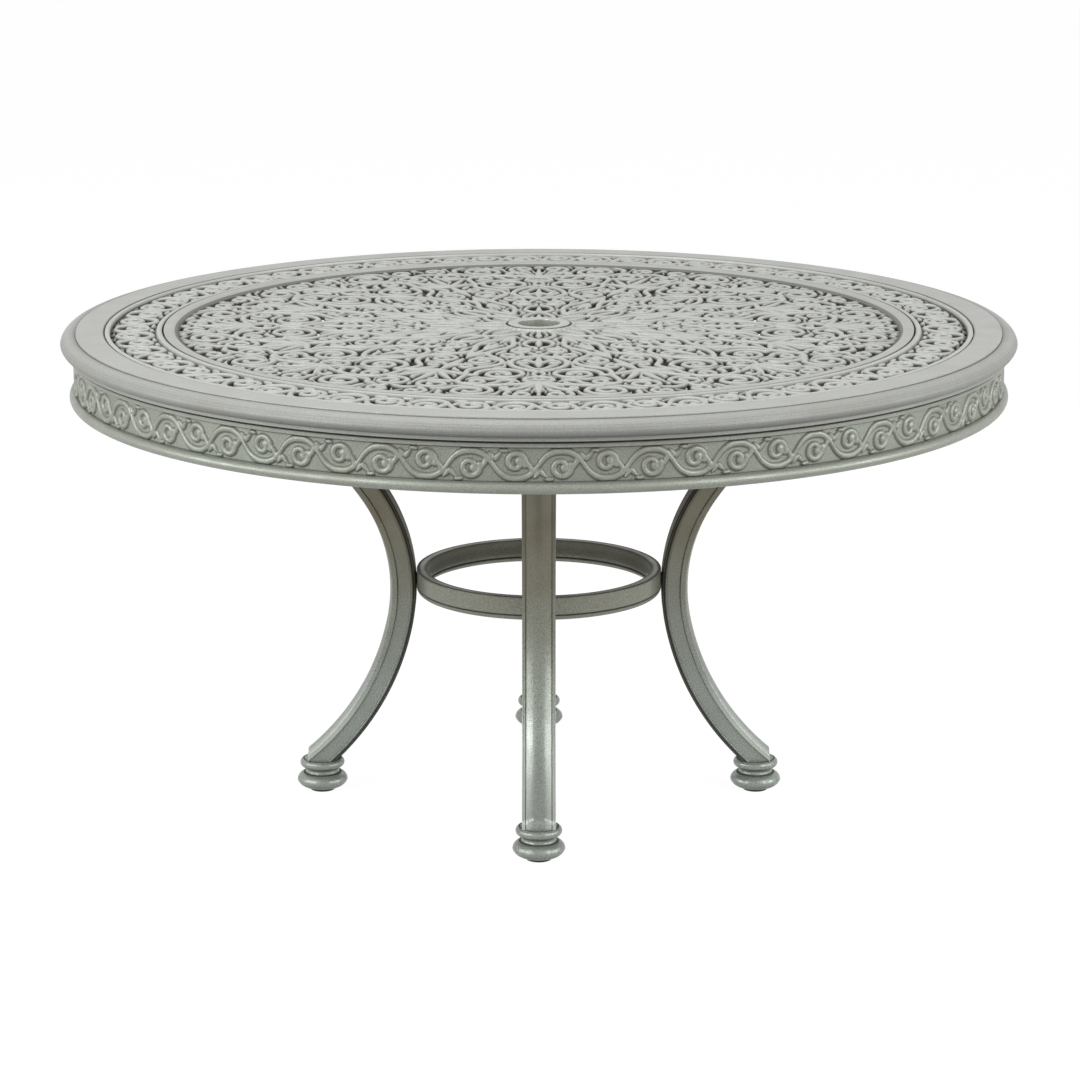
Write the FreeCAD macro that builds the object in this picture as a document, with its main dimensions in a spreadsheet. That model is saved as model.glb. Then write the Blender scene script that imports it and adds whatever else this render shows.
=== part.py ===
import FreeCAD, Part
import math
import os
import re
import Sketcher

# Round umbrella table in cast aluminium. A pierced centre disc turns on a ball race round the
# umbrella tube, inside a fixed pierced band and a bullnose rim. Four bowed legs stand on bun feet
# with screw-in levelling glides, and a ring stretcher ties them together.
# Frame: floor at Z 0, table axis on Z, one leg towards each of +X, +Y, -X and -Y.

# Name, millimetres (or a count or degrees where the note says so), note
SIZES = [
    ("tableHeight", 704, "floor to the rim's flat top"),
    ("rimRadius", 686, "widest reach of the bullnose"),
    ("rimFlatRadius", 670, "outer edge of the flat top"),
    ("rimQuirk", 1, "step between flat top and bullnose"),
    ("rimWideDrop", 14.7, "top to the bullnose's widest line"),
    ("rimNoseDrop", 23, "top to the crease under the bullnose"),
    ("rimSkirtDrop", 29, "top to the rim's lower lip"),
    ("rimLipRadius", 676, "radius of the lower lip"),
    ("rimWall", 6, "thickness of the rim's outer wall"),
    ("rimPlate", 6, "thickness of the rim's flat top"),
    ("rimRibWidth", 12, "width of the inner rib that rests on the arms"),
    ("rimSeatWidth", 16.5, "width of the step that carries the band's outer edge"),
    ("bandRadius", 622.5, "outer radius of the pierced band"),
    ("bandGroove", 2, "shadow groove between rim and band"),
    ("bandDepth", 9, "depth of the band casting"),
    ("bandEdge", 7.5, "plain outer edge of the band"),
    ("bandInnerEdge", 6.5, "plain inner edge of the band"),
    ("bandShoulder", 5, "slope from the inner edge to the pierced field"),
    ("bandFieldDrop", 2, "top to the band's pierced field"),
    ("bandPeriods", 36, "count of scroll periods round the band"),
    ("seamGap", 2.5, "running gap round the turning disc"),
    ("discRadius", 539, "outer radius of the turning disc"),
    ("discDepth", 14, "depth of the disc's rim"),
    ("discFlat", 10.5, "width of the disc rim's flat"),
    ("discCove", 8.5, "width of the slope inside the flat"),
    ("fieldDrop", 3, "top to the disc's pierced field"),
    ("fieldPlate", 8, "thickness of the pierced disc"),
    ("fieldLedge", 8, "width of the ledge that carries the pierced disc"),
    ("fieldRing", 8, "plain ring left round the disc's centre hole"),
    ("fieldSectors", 8, "count of repeats round the pierced disc"),
    ("fieldRows", 9, "count of hole rows across the pierced disc"),
    ("fieldPitch", 34, "spacing of holes along a row"),
    ("holeShare", 0.66, "part of each pitch that is open, a ratio"),
    ("scrollLean", 35, "degrees that the band's long drops lean"),
    ("ringRadiusIn", 515, "inner radius of the ledge ring"),
    ("ringRadiusOut", 558, "outer radius of the ledge ring"),
    ("ringStepDrop", 18, "top to the ledge ring's inner step"),
    ("padRadius", 8, "radius of a nylon slide pad"),
    ("padCount", 8, "count of slide pads"),
    ("runGap", 0.3, "gap between parts that slide past each other"),
    ("armTopDrop", 26, "top to the upper face of the arms"),
    ("armDepth", 74, "depth of an arm"),
    ("armWidth", 60, "width of an arm's flanges"),
    ("armFlange", 5, "thickness of an arm's flanges"),
    ("armWeb", 6, "thickness of an arm's web"),
    ("armEndPlate", 10, "thickness of an arm's end plate"),
    ("armEndGap", 0.5, "gap between that plate and the apron"),
    ("apronRadius", 665, "face of the apron's panel"),
    ("apronInner", 659, "inner face of the apron"),
    ("apronTopDrop", 32, "top to the apron's crown moulding"),
    ("apronCrown", 5.5, "height of the crown moulding"),
    ("apronCrownRadius", 671, "reach of the crown moulding"),
    ("apronTongue", 5, "thickness of the tongue inside the rim"),
    ("apronFlange", 22, "width of the flange screwed under the rim"),
    ("apronPanelDrop", 83.5, "top to the apron's bead"),
    ("apronBead", 15, "height of the half-round bead"),
    ("apronBeadRadius", 675, "reach of the bead"),
    ("boreRadius", 30.3, "umbrella hole"),
    ("tubeWall", 5.7, "wall of the umbrella tube"),
    ("tubeFlangeRadius", 45.2, "flange of the umbrella tube"),
    ("tubeFlange", 6, "thickness of that flange"),
    ("tubeShoulderRadius", 42, "shoulder that sits on the hub"),
    ("tubeShoulder", 5, "height of that shoulder"),
    ("tubeNeck", 2, "wall step between shoulder and flange"),
    ("tubeRound", 1.5, "rounding of the flange's edge"),
    ("tubeTail", 2, "tube below its ring nut"),
    ("flangeGap", 0.8, "gap between the tube's flange and the disc"),
    ("nutHeight", 8, "height of the ring nut under the hub"),
    ("nutRadius", 50, "radius of the ring nut"),
    ("hubRadius", 75, "outer radius of the hub"),
    ("hubWall", 8, "wall of the hub"),
    ("hubSleeve", 6, "wall of the hub's inner sleeve"),
    ("hubFlangeRadius", 120, "flange under the arms"),
    ("hubFlange", 6, "thickness of that flange"),
    ("hubBoltCircle", 100, "hub bolts, from the table axis"),
    ("fitGap", 0.2, "clearance of fixed parts slid together"),
    ("raceDrop", 30, "top to the hub's race seat"),
    ("raceInner", 44, "inner radius of the races"),
    ("raceOuter", 72, "outer radius of the races"),
    ("raceHeight", 5, "height of one race"),
    ("raceGap", 2, "gap between the races"),
    ("ballRadius", 4, "radius of a ball"),
    ("ballCircle", 58, "radius of the ball circle"),
    ("ballCount", 20, "count of balls"),
    ("cageHeight", 1.2, "thickness of the ball cage"),
    ("cageWidth", 18, "width of the ball cage"),
    ("bossRadius", 112, "radius of the disc's centre boss"),
    ("spokeWidth", 8, "width of a spoke under the disc"),
    ("spokeDepth", 6, "depth of a spoke"),
    ("legWaist", 198.7, "leg centre line where it comes nearest to the axis"),
    ("legWaistHeight", 311.3, "height of that point"),
    ("legWaistBend", 253.3, "bend radius at the waist"),
    ("legTopBend", 600, "bend radius of the upper leg"),
    ("legFootBend", 375.3, "bend radius of the lower leg"),
    ("legTopTurn", 35, "degrees from the waist to the upper bend"),
    ("legFootTurn", 11.2, "degrees from the waist to the lower bend"),
    ("legDepth", 37.8, "leg, from inner to outer face"),
    ("legWidth", 47.5, "leg, across"),
    ("legLedge", 7, "width of the ledges beside the raised face"),
    ("legLedgeDrop", 3, "drop of those ledges"),
    ("legWebDrop", 3, "depth of the side panels"),
    ("legStrip", 11, "outer strip of a side, from the outer face"),
    ("legBead", 8, "inner strip of a side, from the inner face"),
    ("legChamfer", 3.5, "chamfer along the inner face"),
    ("legToe", 20, "reach of the leg's toe past the foot's axis"),
    ("plateLength", 150, "leg plate, along the arm"),
    ("plateWidth", 64, "leg plate, across"),
    ("plateThick", 8, "leg plate"),
    ("plateCentre", 381, "leg plate's middle, from the table axis"),
    ("boltRadius", 4, "M8 bolts"),
    ("boltHole", 4.3, "holes for them"),
    ("headRadius", 7, "bolt heads and nuts"),
    ("headHeight", 5.3, "bolt heads"),
    ("boltNutHeight", 6.5, "nuts"),
    ("boltSpread", 20, "bolts, from the arm's middle"),
    ("boltInset", 15, "bolts, from the leg plate's ends"),
    ("screwRadius", 3, "M6 screws"),
    ("screwHole", 3.2, "holes for them"),
    ("screwHeadRadius", 5.2, "screw heads"),
    ("screwHeadHeight", 4, "screw heads"),
    ("screwSpread", 18, "screws, from the arm's middle"),
    ("screwBite", 7, "depth of a screw in the rim's rib or the ledge ring"),
    ("apronBite", 4, "depth of an apron screw in the rim"),
    ("ledgeScrewInset", 8, "ledge screws, from the ledge ring's outer edge"),
    ("apronScrews", 16, "count of apron screws"),
    ("footCircle", 322, "foot's axis, from the table axis"),
    ("footTop", 48.5, "top of the foot's collar"),
    ("collarRadius", 32.8, "collar's widest"),
    ("collarHeight", 42, "height of the collar's widest line"),
    ("collarSeat", 27.5, "radius of the collar's flat top"),
    ("neckTop", 26.5, "radius where the neck's hollow starts and ends"),
    ("neckLow", 27, "height where it starts"),
    ("neckHigh", 35.5, "height where it ends"),
    ("neckBend", 4.7, "bend radius of the neck's hollow"),
    ("bunRadius", 37.1, "bun's widest"),
    ("bunCrown", 11.6, "bend radius of the bun's upper half"),
    ("bunHeight", 15.5, "height of the bun's widest line"),
    ("footBase", 20.5, "flat under the bun"),
    ("glideRadius", 19, "levelling glide"),
    ("glideHeight", 4.7, "levelling glide"),
    ("glideEdge", 1.2, "chamfer of the glide"),
    ("studRadius", 5, "levelling stud"),
    ("studGap", 0.06, "clearance of the stud in its hole"),
    ("studLength", 34, "levelling stud, above the glide"),
    ("stretcherRadius", 179.2, "ring stretcher, outer"),
    ("stretcherWall", 15, "ring stretcher, across"),
    ("stretcherBase", 306.5, "ring stretcher's lower edge"),
    ("stretcherHeight", 34, "ring stretcher"),
    ("stretcherRound", 6, "rounding of its lower bead"),
    ("stretcherGroove", 1.5, "groove above the bead"),
    ("spacerRadius", 9, "spacers between ring and legs"),
    ("spacerGap", 0.6, "thickness of a spacer"),
    ("tieBolt", 24, "length of a stretcher bolt past the ring"),
]

doc = FreeCAD.newDocument("UmbrellaTable")
sheet = doc.addObject("Spreadsheet::Sheet", "Sizes")
for row, (alias, size, note) in enumerate(SIZES, start=1):
    sheet.set(f"A{row}", note)
    sheet.set(f"B{row}", str(size))
    sheet.setAlias(f"B{row}", alias)
doc.recompute()

ALIASES = re.compile(r"\b(" + "|".join(alias for alias, size, note in SIZES) + r")\b")
Z = FreeCAD.Vector(0, 0, 1)
SIDES = {"right": 0, "back": 90, "left": 180, "front": 270}


def named(text):
    """The text of a formula, with each size's name as its cell in the sheet."""
    return ALIASES.sub(r"Sizes.\1", str(text))


def number(text):
    """What a formula comes to now, as a plain number."""
    result = sheet.evalExpression(named(text))
    return float(getattr(result, "Value", result))


def origin(body, role):
    return next(f for f in body.Origin.OriginFeatures if f.Role == role)


def new_body(label, x=0, y=0, z=0, turn=0):
    """A sub-part, placed by formulas for its origin and a turn about Z."""
    body = doc.addObject("PartDesign::Body", label)
    body.Label = label
    rotation = FreeCAD.Rotation(Z, turn)
    body.Placement = FreeCAD.Placement(FreeCAD.Vector(0, 0, 0), rotation)
    for axis, text in (("x", x), ("y", y), ("z", z)):
        if text != 0:
            body.setExpression(f".Placement.Base.{axis}", named(text))
    return body


def sketch_on(body, role, offset=0, across=0, up=0):
    """An empty sketch on one of the body's own planes, moved off it by formulas."""
    sketch = body.newObject("Sketcher::SketchObject", "Outline")
    sketch.AttachmentSupport = [(origin(body, role), "")]
    sketch.MapMode = "FlatFace"
    for axis, text in (("x", across), ("y", up), ("z", offset)):
        if text != 0:
            sketch.setExpression(f".AttachmentOffset.Base.{axis}", named(text))
    return sketch


def arc_between(start, end, radius, bulge):
    """The short arc that joins two points, bulging to the left of the way from the first to the
    second for +1 or to its right for -1. It is made counter-clockwise."""
    chord = end - start
    half = chord.Length / 2
    left = FreeCAD.Vector(-chord.y, chord.x, 0).normalize()
    centre = (start + end) / 2 - left * bulge * math.sqrt(max(radius**2 - half**2, 0))
    first, last = (end, start) if bulge > 0 else (start, end)
    angles = [math.atan2(point.y - centre.y, point.x - centre.x) for point in (first, last)]
    if angles[1] < angles[0]:
        angles[1] += 2 * math.pi
    return Part.ArcOfCircle(Part.Circle(centre, Z, radius), *angles)


def draw(sketch, corners):
    """A closed outline. A corner is (across, up), or (across, up, radius, bulge) where an arc
    leads on to the next corner. Every corner and radius is bound to its formula."""
    points = [FreeCAD.Vector(number(c[0]), number(c[1]), 0) for c in corners]
    starts = []
    for i, corner in enumerate(corners):
        begin, end = points[i], points[(i + 1) % len(points)]
        if len(corner) == 2:
            index = sketch.addGeometry(Part.LineSegment(begin, end))
            starts.append((index, 1, 2))
            continue
        arc = arc_between(begin, end, number(corner[2]), corner[3])
        index = sketch.addGeometry(arc)
        starts.append((index, 2, 1) if corner[3] > 0 else (index, 1, 2))
        rule = sketch.addConstraint(Sketcher.Constraint("Radius", index, number(corner[2])))
        sketch.setExpression(f"Constraints[{rule}]", named(corner[2]))
    for i in range(len(corners)):
        index, begin, end = starts[i]
        following, its_begin, _ = starts[(i + 1) % len(corners)]
        sketch.addConstraint(Sketcher.Constraint("Coincident", index, end, following, its_begin))
    for i, corner in enumerate(corners):
        index, begin, end = starts[i]
        for kind, text in (("DistanceX", corner[0]), ("DistanceY", corner[1])):
            rule = sketch.addConstraint(
                Sketcher.Constraint(kind, -1, 1, index, begin, number(text))
            )
            sketch.setExpression(f"Constraints[{rule}]", named(text))


def draw_circle(sketch, across, up, radius):
    """A full circle, its centre and radius bound to their formulas."""
    centre = FreeCAD.Vector(number(across), number(up), 0)
    index = sketch.addGeometry(Part.Circle(centre, Z, number(radius)))
    rules = [("Radius", radius, None), ("DistanceX", across, 3), ("DistanceY", up, 3)]
    for kind, text, point in rules:
        if point is None:
            made = Sketcher.Constraint(kind, index, number(text))
        else:
            made = Sketcher.Constraint(kind, -1, 1, index, point, number(text))
        rule = sketch.addConstraint(made)
        sketch.setExpression(f"Constraints[{rule}]", named(text))


def feature(body, kind, sketch, **settings):
    """A PartDesign feature made from a sketch."""
    made = body.newObject(f"PartDesign::{kind}", kind)
    made.Profile = sketch
    for name, value in settings.items():
        setattr(made, name, value)
    return made


def pad(body, sketch, length, **settings):
    made = feature(body, "Pad", sketch, **settings)
    made.setExpression("Length", named(length))
    return made


def turn(body, corners, across=0, offset=0, kind="Revolution"):
    """A full revolution (or groove) of an outline in the XZ plane about the plane's own upright."""
    sketch = sketch_on(body, "XZ_Plane", offset, across)
    draw(sketch, corners)
    made = feature(body, kind, sketch, ReferenceAxis=(sketch, ["V_Axis"]), Angle=360.0)
    return made


def drill(body, sketch):
    """A pocket right through, both ways."""
    return feature(body, "Pocket", sketch, Type=1, Midplane=True, Refine=False)


def shallow_holes(body, sketch, depth):
    """A pocket that reaches as deep as the formula says, both ways from its sketch."""
    cut = feature(body, "Pocket", sketch, Midplane=True)
    cut.setExpression("Length", named(f"2 * ({depth})"))
    return cut


def around(body, originals, count, angle=360.0):
    """The features repeated round Z."""
    pattern = body.newObject("PartDesign::PolarPattern", "Around")
    pattern.Originals = originals
    pattern.Axis = (origin(body, "Z_Axis"), [""])
    pattern.Angle = angle
    pattern.Occurrences = int(round(number(count)))
    pattern.Refine = False
    body.Tip = pattern
    return pattern


def spot(radius, angle):
    """Formulas for the x and y of a point on a circle round the table axis."""
    return f"{radius} * cos({angle} * 1 deg)", f"{radius} * sin({angle} * 1 deg)"


def block(low_x, high_x, low_y, high_y):
    """The corners of an upright rectangle."""
    return [(low_x, low_y), (high_x, low_y), (high_x, high_y), (low_x, high_y)]


# Heights that several pieces share
rim_under = "(tableHeight - rimPlate)"
band_seat = "(tableHeight - bandDepth)"
field_top = "(tableHeight - fieldDrop)"
field_seat = f"({field_top} - fieldPlate)"
arm_top = "(tableHeight - armTopDrop)"
arm_base = f"({arm_top} - armDepth)"
leg_top = f"({arm_base} - plateThick)"
race_seat = "(tableHeight - raceDrop)"
race_high = f"({race_seat} + raceHeight + raceGap)"
boss_seat = f"({race_high} + raceHeight)"
hub_base = f"({arm_base} - hubFlange)"
tube_radius = "(boreRadius + tubeWall)"
disc_hole = "(tubeFlangeRadius + flangeGap)"
rim_inner = "(bandRadius + bandGroove)"
seat_inner = f"({rim_inner} - rimSeatWidth - bandGroove)"
band_inner = "(discRadius + seamGap)"
field_radius = "(discRadius - discFlat - discCove)"
ball_height = f"({race_seat} + raceHeight + raceGap / 2)"
arm_end = "(apronInner - armEndGap)"
ledge_screw = "(ringRadiusOut - ledgeScrewInset)"
rib_outer = f"({rim_inner} + rimWall)"
rim_screw = f"({rib_outer} - rimRibWidth / 2)"
apron_screw = "(apronInner - apronFlange / 2)"
bolt_near = "(plateCentre - plateLength / 2 + boltInset)"
bolt_far = "(plateCentre + plateLength / 2 - boltInset)"
bolt_height = "(stretcherBase + stretcherHeight / 2)"


def rim_casting():
    """Bullnose rim, open below, with a rib on the arms and a step for the band."""
    body = new_body("rim_casting")
    wall = "(rimLipRadius - rimWall)"
    rib_inner = f"({rib_outer} - rimRibWidth)"
    seat_under = f"({band_seat} - rimPlate)"
    nose = "(rimRadius - rimFlatRadius)"
    shoulder = "(rimWideDrop - rimQuirk)"
    under = "(rimNoseDrop - rimWideDrop)"
    reach = "(rimRadius - rimLipRadius)"
    turn(body, [
        (rim_inner, "tableHeight"),
        ("rimFlatRadius", "tableHeight"),
        ("rimFlatRadius", "tableHeight - rimQuirk", f"max({nose}; {shoulder})", 1),
        ("rimRadius", "tableHeight - rimWideDrop", f"max({reach}; {under})", 1),
        ("rimLipRadius", "tableHeight - rimNoseDrop"),
        ("rimLipRadius", "tableHeight - rimSkirtDrop"),
        (wall, "tableHeight - rimSkirtDrop"),
        (wall, rim_under),
        (rib_outer, rim_under),
        (rib_outer, arm_top),
        (rib_inner, arm_top),
        (rib_inner, seat_under),
        (seat_inner, seat_under),
        (seat_inner, band_seat),
        (rim_inner, band_seat),
    ])
    rib_holes = sketch_on(body, "XY_Plane", arm_top)
    draw_circle(rib_holes, rim_screw, "screwSpread", "screwHole")
    draw_circle(rib_holes, rim_screw, "-screwSpread", "screwHole")
    around(body, [shallow_holes(body, rib_holes, "screwBite + 0.5")], 4)
    plate_holes = sketch_on(body, "XY_Plane", rim_under)
    draw_circle(plate_holes, *spot(apron_screw, "180 / apronScrews"), "screwHole")
    around(body, [shallow_holes(body, plate_holes, "apronBite + 0.5")], "apronScrews")
    return body


def drop(middle, angle, length, width, lean):
    """The wire of a drop-shaped hole about a point given by radius and angle: a round head and
    two tangents that meet in a tip, turned by the lean from the radius."""
    head = width / 2
    reach = length - head
    spread = math.acos(head / reach)
    facing = angle + math.radians(lean)

    def away(start, distance, turned=0):
        way = FreeCAD.Vector(math.cos(facing + turned), math.sin(facing + turned), 0)
        return start + way * distance

    spot_middle = FreeCAD.Vector(middle * math.cos(angle), middle * math.sin(angle), 0)
    centre = away(spot_middle, head - length / 2)
    tip = away(centre, reach)
    one, far, other = (away(centre, head, turned) for turned in (spread, math.pi, -spread))
    edges = [Part.Arc(one, far, other).toShape()]
    edges += [Part.LineSegment(other, tip).toShape(), Part.LineSegment(tip, one).toShape()]
    return Part.Wire(edges)


def pierced_plate(inner, outer, thickness, holes):
    """A flat ring with holes, extruded upwards from its holed face at Z 0."""
    rings = [Part.Wire(Part.makeCircle(radius)) for radius in (outer, inner)]
    face = Part.makeFace(Part.Compound(rings + holes), "Part::FaceMakerBullseye")
    return face.extrude(FreeCAD.Vector(0, 0, thickness))


def shaped(label, shape, height):
    """A sub-part whose shape is worked out here from the sheet, set at a height."""
    thing = doc.addObject("Part::Feature", label)
    thing.Label = label
    thing.Shape = shape
    thing.Placement = FreeCAD.Placement(FreeCAD.Vector(0, 0, height), FreeCAD.Rotation())
    return thing


def scroll_band():
    """Fixed pierced band with plain raised edges. Each scroll leaves one long drop, leaning out
    and in by turns, and two small ones at its junction with the next scroll."""
    start, outer = number(band_inner), number("bandRadius")
    field_low = number(f"{band_inner} + bandInnerEdge + bandShoulder")
    field_high = number("bandRadius - bandEdge")
    width = field_high - field_low
    scrolls = 2 * int(number("bandPeriods"))
    step = 2 * math.pi / scrolls
    open_width = step * (start + outer) / 2 * number("holeShare")
    holes = []
    for k in range(scrolls):
        lean = number("scrollLean") * (-1) ** k
        holes.append(drop(field_low + width / 2, step * (k + 0.5), width * 0.62, open_width / 2, lean))
        for place, facing in ((0.2, 180), (0.8, 0)):
            holes.append(drop(field_low + width * place, step * k, width * 0.26, open_width / 4, facing))
    plate = pierced_plate(start, outer, number("bandDepth - bandFieldDrop"), holes)
    edges = []
    for near, far in ((start, number(f"{band_inner} + bandInnerEdge")), (field_high, outer)):
        edge = pierced_plate(near, far, number("bandFieldDrop"), [])
        edge.translate(FreeCAD.Vector(0, 0, number("bandDepth - bandFieldDrop")))
        edges.append(edge)
    return shaped("scroll_band", plate.fuse(edges), number(band_seat))


def scroll_disc():
    """Pierced disc of the turning centre: rows of drop-shaped holes that lean towards the middle
    of each sector, mirrored about it."""
    start = number(f"{disc_hole} + fieldRing")
    outer = number(field_radius)
    sectors = int(number("fieldSectors"))
    rows = int(number("fieldRows"))
    pitch = (outer - number("fieldRing") - start) / rows
    share = number("holeShare")
    holes = []
    for row in range(rows):
        middle = start + pitch * (row + 0.5)
        in_sector = max(2, round(2 * math.pi * middle / sectors / number("fieldPitch")))
        count = sectors * in_sector
        step = 2 * math.pi / count
        width = min(step * middle, pitch * 0.8) * share
        for k in range(count):
            place = (k % in_sector + 0.5) / in_sector - 0.5
            lean = -60 * place + 180 * (row % 2)
            holes.append(drop(middle, step * (k + 0.5), pitch * 0.82, width, lean))
    plate = pierced_plate(number(disc_hole), outer, number("fieldPlate"), holes)
    return shaped("scroll_disc", plate, number(field_seat))


def ledge_ring():
    """Ring on the arms: a step for the slide pads and a higher one for the band's inner edge."""
    body = new_body("ledge_ring")
    step = "(tableHeight - ringStepDrop)"
    turn(body, [
        ("ringRadiusIn", arm_top),
        ("ringRadiusOut", arm_top),
        ("ringRadiusOut", band_seat),
        (f"{band_inner} + seamGap", band_seat),
        (f"{band_inner} + seamGap", step),
        ("ringRadiusIn", step),
    ])
    sketch = sketch_on(body, "XY_Plane", arm_top)
    draw_circle(sketch, ledge_screw, "screwSpread", "screwHole")
    draw_circle(sketch, ledge_screw, "-screwSpread", "screwHole")
    around(body, [shallow_holes(body, sketch, "screwBite + 0.5")], 4)
    return body


def slide_pads():
    """Nylon pads that the disc's rim slides on."""
    body = new_body("slide_pads", z="tableHeight - ringStepDrop")
    sketch = sketch_on(body, "XY_Plane")
    draw_circle(sketch, "discRadius - padRadius - bandGroove", 0, "padRadius")
    height = "ringStepDrop - discDepth - runGap"
    around(body, [pad(body, sketch, height)], "padCount")
    return body


def apron_ring():
    """Apron: crown moulding, plain panel, half-round bead, and a flange up inside the rim."""
    body = new_body("apron_ring")
    crown = "(tableHeight - apronTopDrop)"
    panel_top = f"({crown} - apronCrown)"
    bead_top = "(tableHeight - apronPanelDrop)"
    bead_low = f"({bead_top} - apronBead)"
    flange = f"({rim_under} - apronTongue)"
    swell = "(apronBeadRadius - apronRadius)"
    half = "(apronBead / 2)"
    bend = f"(({swell}^2 + {half}^2) / (2 * {swell}))"
    tongue = "(apronInner + apronTongue)"
    turn(body, [
        ("apronInner", bead_low),
        ("apronRadius", bead_low, bend, -1),
        ("apronBeadRadius", f"{bead_low} + {half}", bend, -1),
        ("apronRadius", bead_top),
        ("apronRadius", f"{panel_top} - apronCrown / 4"),
        ("apronCrownRadius", panel_top),
        ("apronCrownRadius", crown),
        (tongue, crown),
        (tongue, rim_under),
        ("apronInner - apronFlange", rim_under),
        ("apronInner - apronFlange", flange),
        ("apronInner", flange),
    ])
    sketch = sketch_on(body, "XY_Plane", rim_under)
    draw_circle(sketch, *spot(apron_screw, "180 / apronScrews"), "screwHole")
    around(body, [shallow_holes(body, sketch, "apronTongue")], "apronScrews")
    return body


def spider_arm(side, turned):
    """One arm of the top frame: two flanges, a web and an end plate, from hub to apron."""
    body = new_body(f"spider_arm_{side}", z=arm_base, turn=turned)
    half = "(armWidth / 2)"

    def strip(low, height, width, start):
        far = f"sqrt({arm_end}^2 - {width}^2)"
        sketch = sketch_on(body, "XY_Plane", low)
        if start == "hubRadius":
            near = f"sqrt(hubRadius^2 - {width}^2)"
            back = (near, width, "hubRadius", 1)
        else:
            near = start
            back = (near, width)
        draw(sketch, [(near, f"-{width}"), (far, f"-{width}", arm_end, -1), (far, width), back])
        pad(body, sketch, height)

    strip(0, "armFlange", half, "hubRadius")
    strip(0, "armDepth", "(armWeb / 2)", "hubRadius")
    strip("armDepth - armFlange", "armFlange", half, "hubRadius")
    strip(0, "armDepth", half, f"({arm_end} - armEndPlate)")
    low_holes = [("hubBoltCircle", "boltSpread"), (bolt_near, "boltSpread"), (bolt_far, "boltSpread")]
    high_holes = [(ledge_screw, "screwSpread"), (rim_screw, "screwSpread")]
    for height, spots, radius in ((0, low_holes, "boltHole"), ("armDepth", high_holes, "screwHole")):
        sketch = sketch_on(body, "XY_Plane", height)
        for across, spread in spots:
            draw_circle(sketch, across, spread, radius)
            draw_circle(sketch, across, f"-{spread}", radius)
        shallow_holes(body, sketch, "armFlange")
    return body


def spider_hub():
    """Hub: a sleeve for the tube, an outer wall, a seat for the ball race and a low flange."""
    body = new_body("spider_hub")
    bore = f"({tube_radius} + fitGap)"
    sleeve = f"({bore} + hubSleeve)"
    roof = f"({race_seat} - hubWall)"
    turn(body, [
        (bore, hub_base),
        (sleeve, hub_base),
        (sleeve, roof),
        ("hubRadius - hubWall", roof),
        ("hubRadius - hubWall", hub_base),
        ("hubFlangeRadius", hub_base),
        ("hubFlangeRadius", arm_base),
        ("hubRadius", arm_base),
        ("hubRadius", race_seat),
        (bore, race_seat),
    ])
    sketch = sketch_on(body, "XY_Plane", hub_base)
    draw_circle(sketch, "hubBoltCircle", "boltSpread", "boltHole")
    draw_circle(sketch, "hubBoltCircle", "-boltSpread", "boltHole")
    around(body, [shallow_holes(body, sketch, "hubFlange")], 4)
    return body


def umbrella_tube():
    """Fixed tube for the umbrella pole, with a flange level with the table top."""
    body = new_body("umbrella_tube")
    shoulder = f"({race_seat} + tubeShoulder)"
    neck = f"({tube_radius} + tubeNeck)"
    flange = "(tableHeight - tubeFlange)"
    tail = f"({hub_base} - nutHeight - tubeTail)"
    turn(body, [
        ("boreRadius", tail),
        (tube_radius, tail),
        (tube_radius, race_seat),
        ("tubeShoulderRadius", race_seat),
        ("tubeShoulderRadius", shoulder),
        (neck, shoulder),
        (neck, flange),
        ("tubeFlangeRadius", flange),
        ("tubeFlangeRadius", "tableHeight - tubeRound", "tubeRound", -1),
        ("tubeFlangeRadius - tubeRound", "tableHeight"),
        ("boreRadius", "tableHeight"),
    ])
    return body


def ring_nut():
    """Nut that clamps the tube up against the hub."""
    body = new_body("tube_ring_nut")
    low = f"({hub_base} - nutHeight)"
    turn(body, block(f"{tube_radius} + fitGap", "nutRadius", low, hub_base))
    return body


def race(label, low, centre):
    """A bearing race with a round groove for the balls."""
    body = new_body(label)
    turn(body, block("raceInner", "raceOuter", low, f"{low} + raceHeight"))
    sketch = sketch_on(body, "XZ_Plane")
    draw_circle(sketch, "ballCircle", centre, "ballRadius + runGap")
    feature(body, "Groove", sketch, ReferenceAxis=(sketch, ["V_Axis"]), Angle=360.0)
    return body


def ball_cage():
    """Ring that spaces the balls, with one pocket for each."""
    body = new_body("ball_cage")
    low = f"({ball_height} - cageHeight / 2)"
    near, far = "ballCircle - cageWidth / 2", "ballCircle + cageWidth / 2"
    turn(body, block(near, far, low, f"{low} + cageHeight"))
    sketch = sketch_on(body, "XY_Plane", ball_height)
    draw_circle(sketch, "ballCircle", 0, "ballRadius + runGap")
    around(body, [shallow_holes(body, sketch, "cageHeight")], "ballCount")
    return body


def bearing_balls():
    """The balls, each turned from a half disc."""
    body = new_body("bearing_balls")
    sketch = sketch_on(body, "XZ_Plane", 0, "ballCircle", ball_height)
    draw(sketch, [
        (0, "-ballRadius", "ballRadius", -1),
        ("ballRadius", 0, "ballRadius", -1),
        (0, "ballRadius"),
    ])
    ball = feature(body, "Revolution", sketch, ReferenceAxis=(sketch, ["V_Axis"]), Angle=360.0)
    around(body, [ball], "ballCount")
    return body


def turntable_rim():
    """Edge of the turning disc: a raised flat, a slope inside it and a ledge for the field."""
    body = new_body("turntable_rim")
    low = "(tableHeight - discDepth)"
    turn(body, [
        (f"{field_radius} - fieldLedge", low),
        ("discRadius", low),
        ("discRadius", "tableHeight"),
        ("discRadius - discFlat", "tableHeight"),
        (field_radius, field_top),
        (field_radius, field_seat),
        (f"{field_radius} - fieldLedge", field_seat),
    ])
    return body


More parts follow.
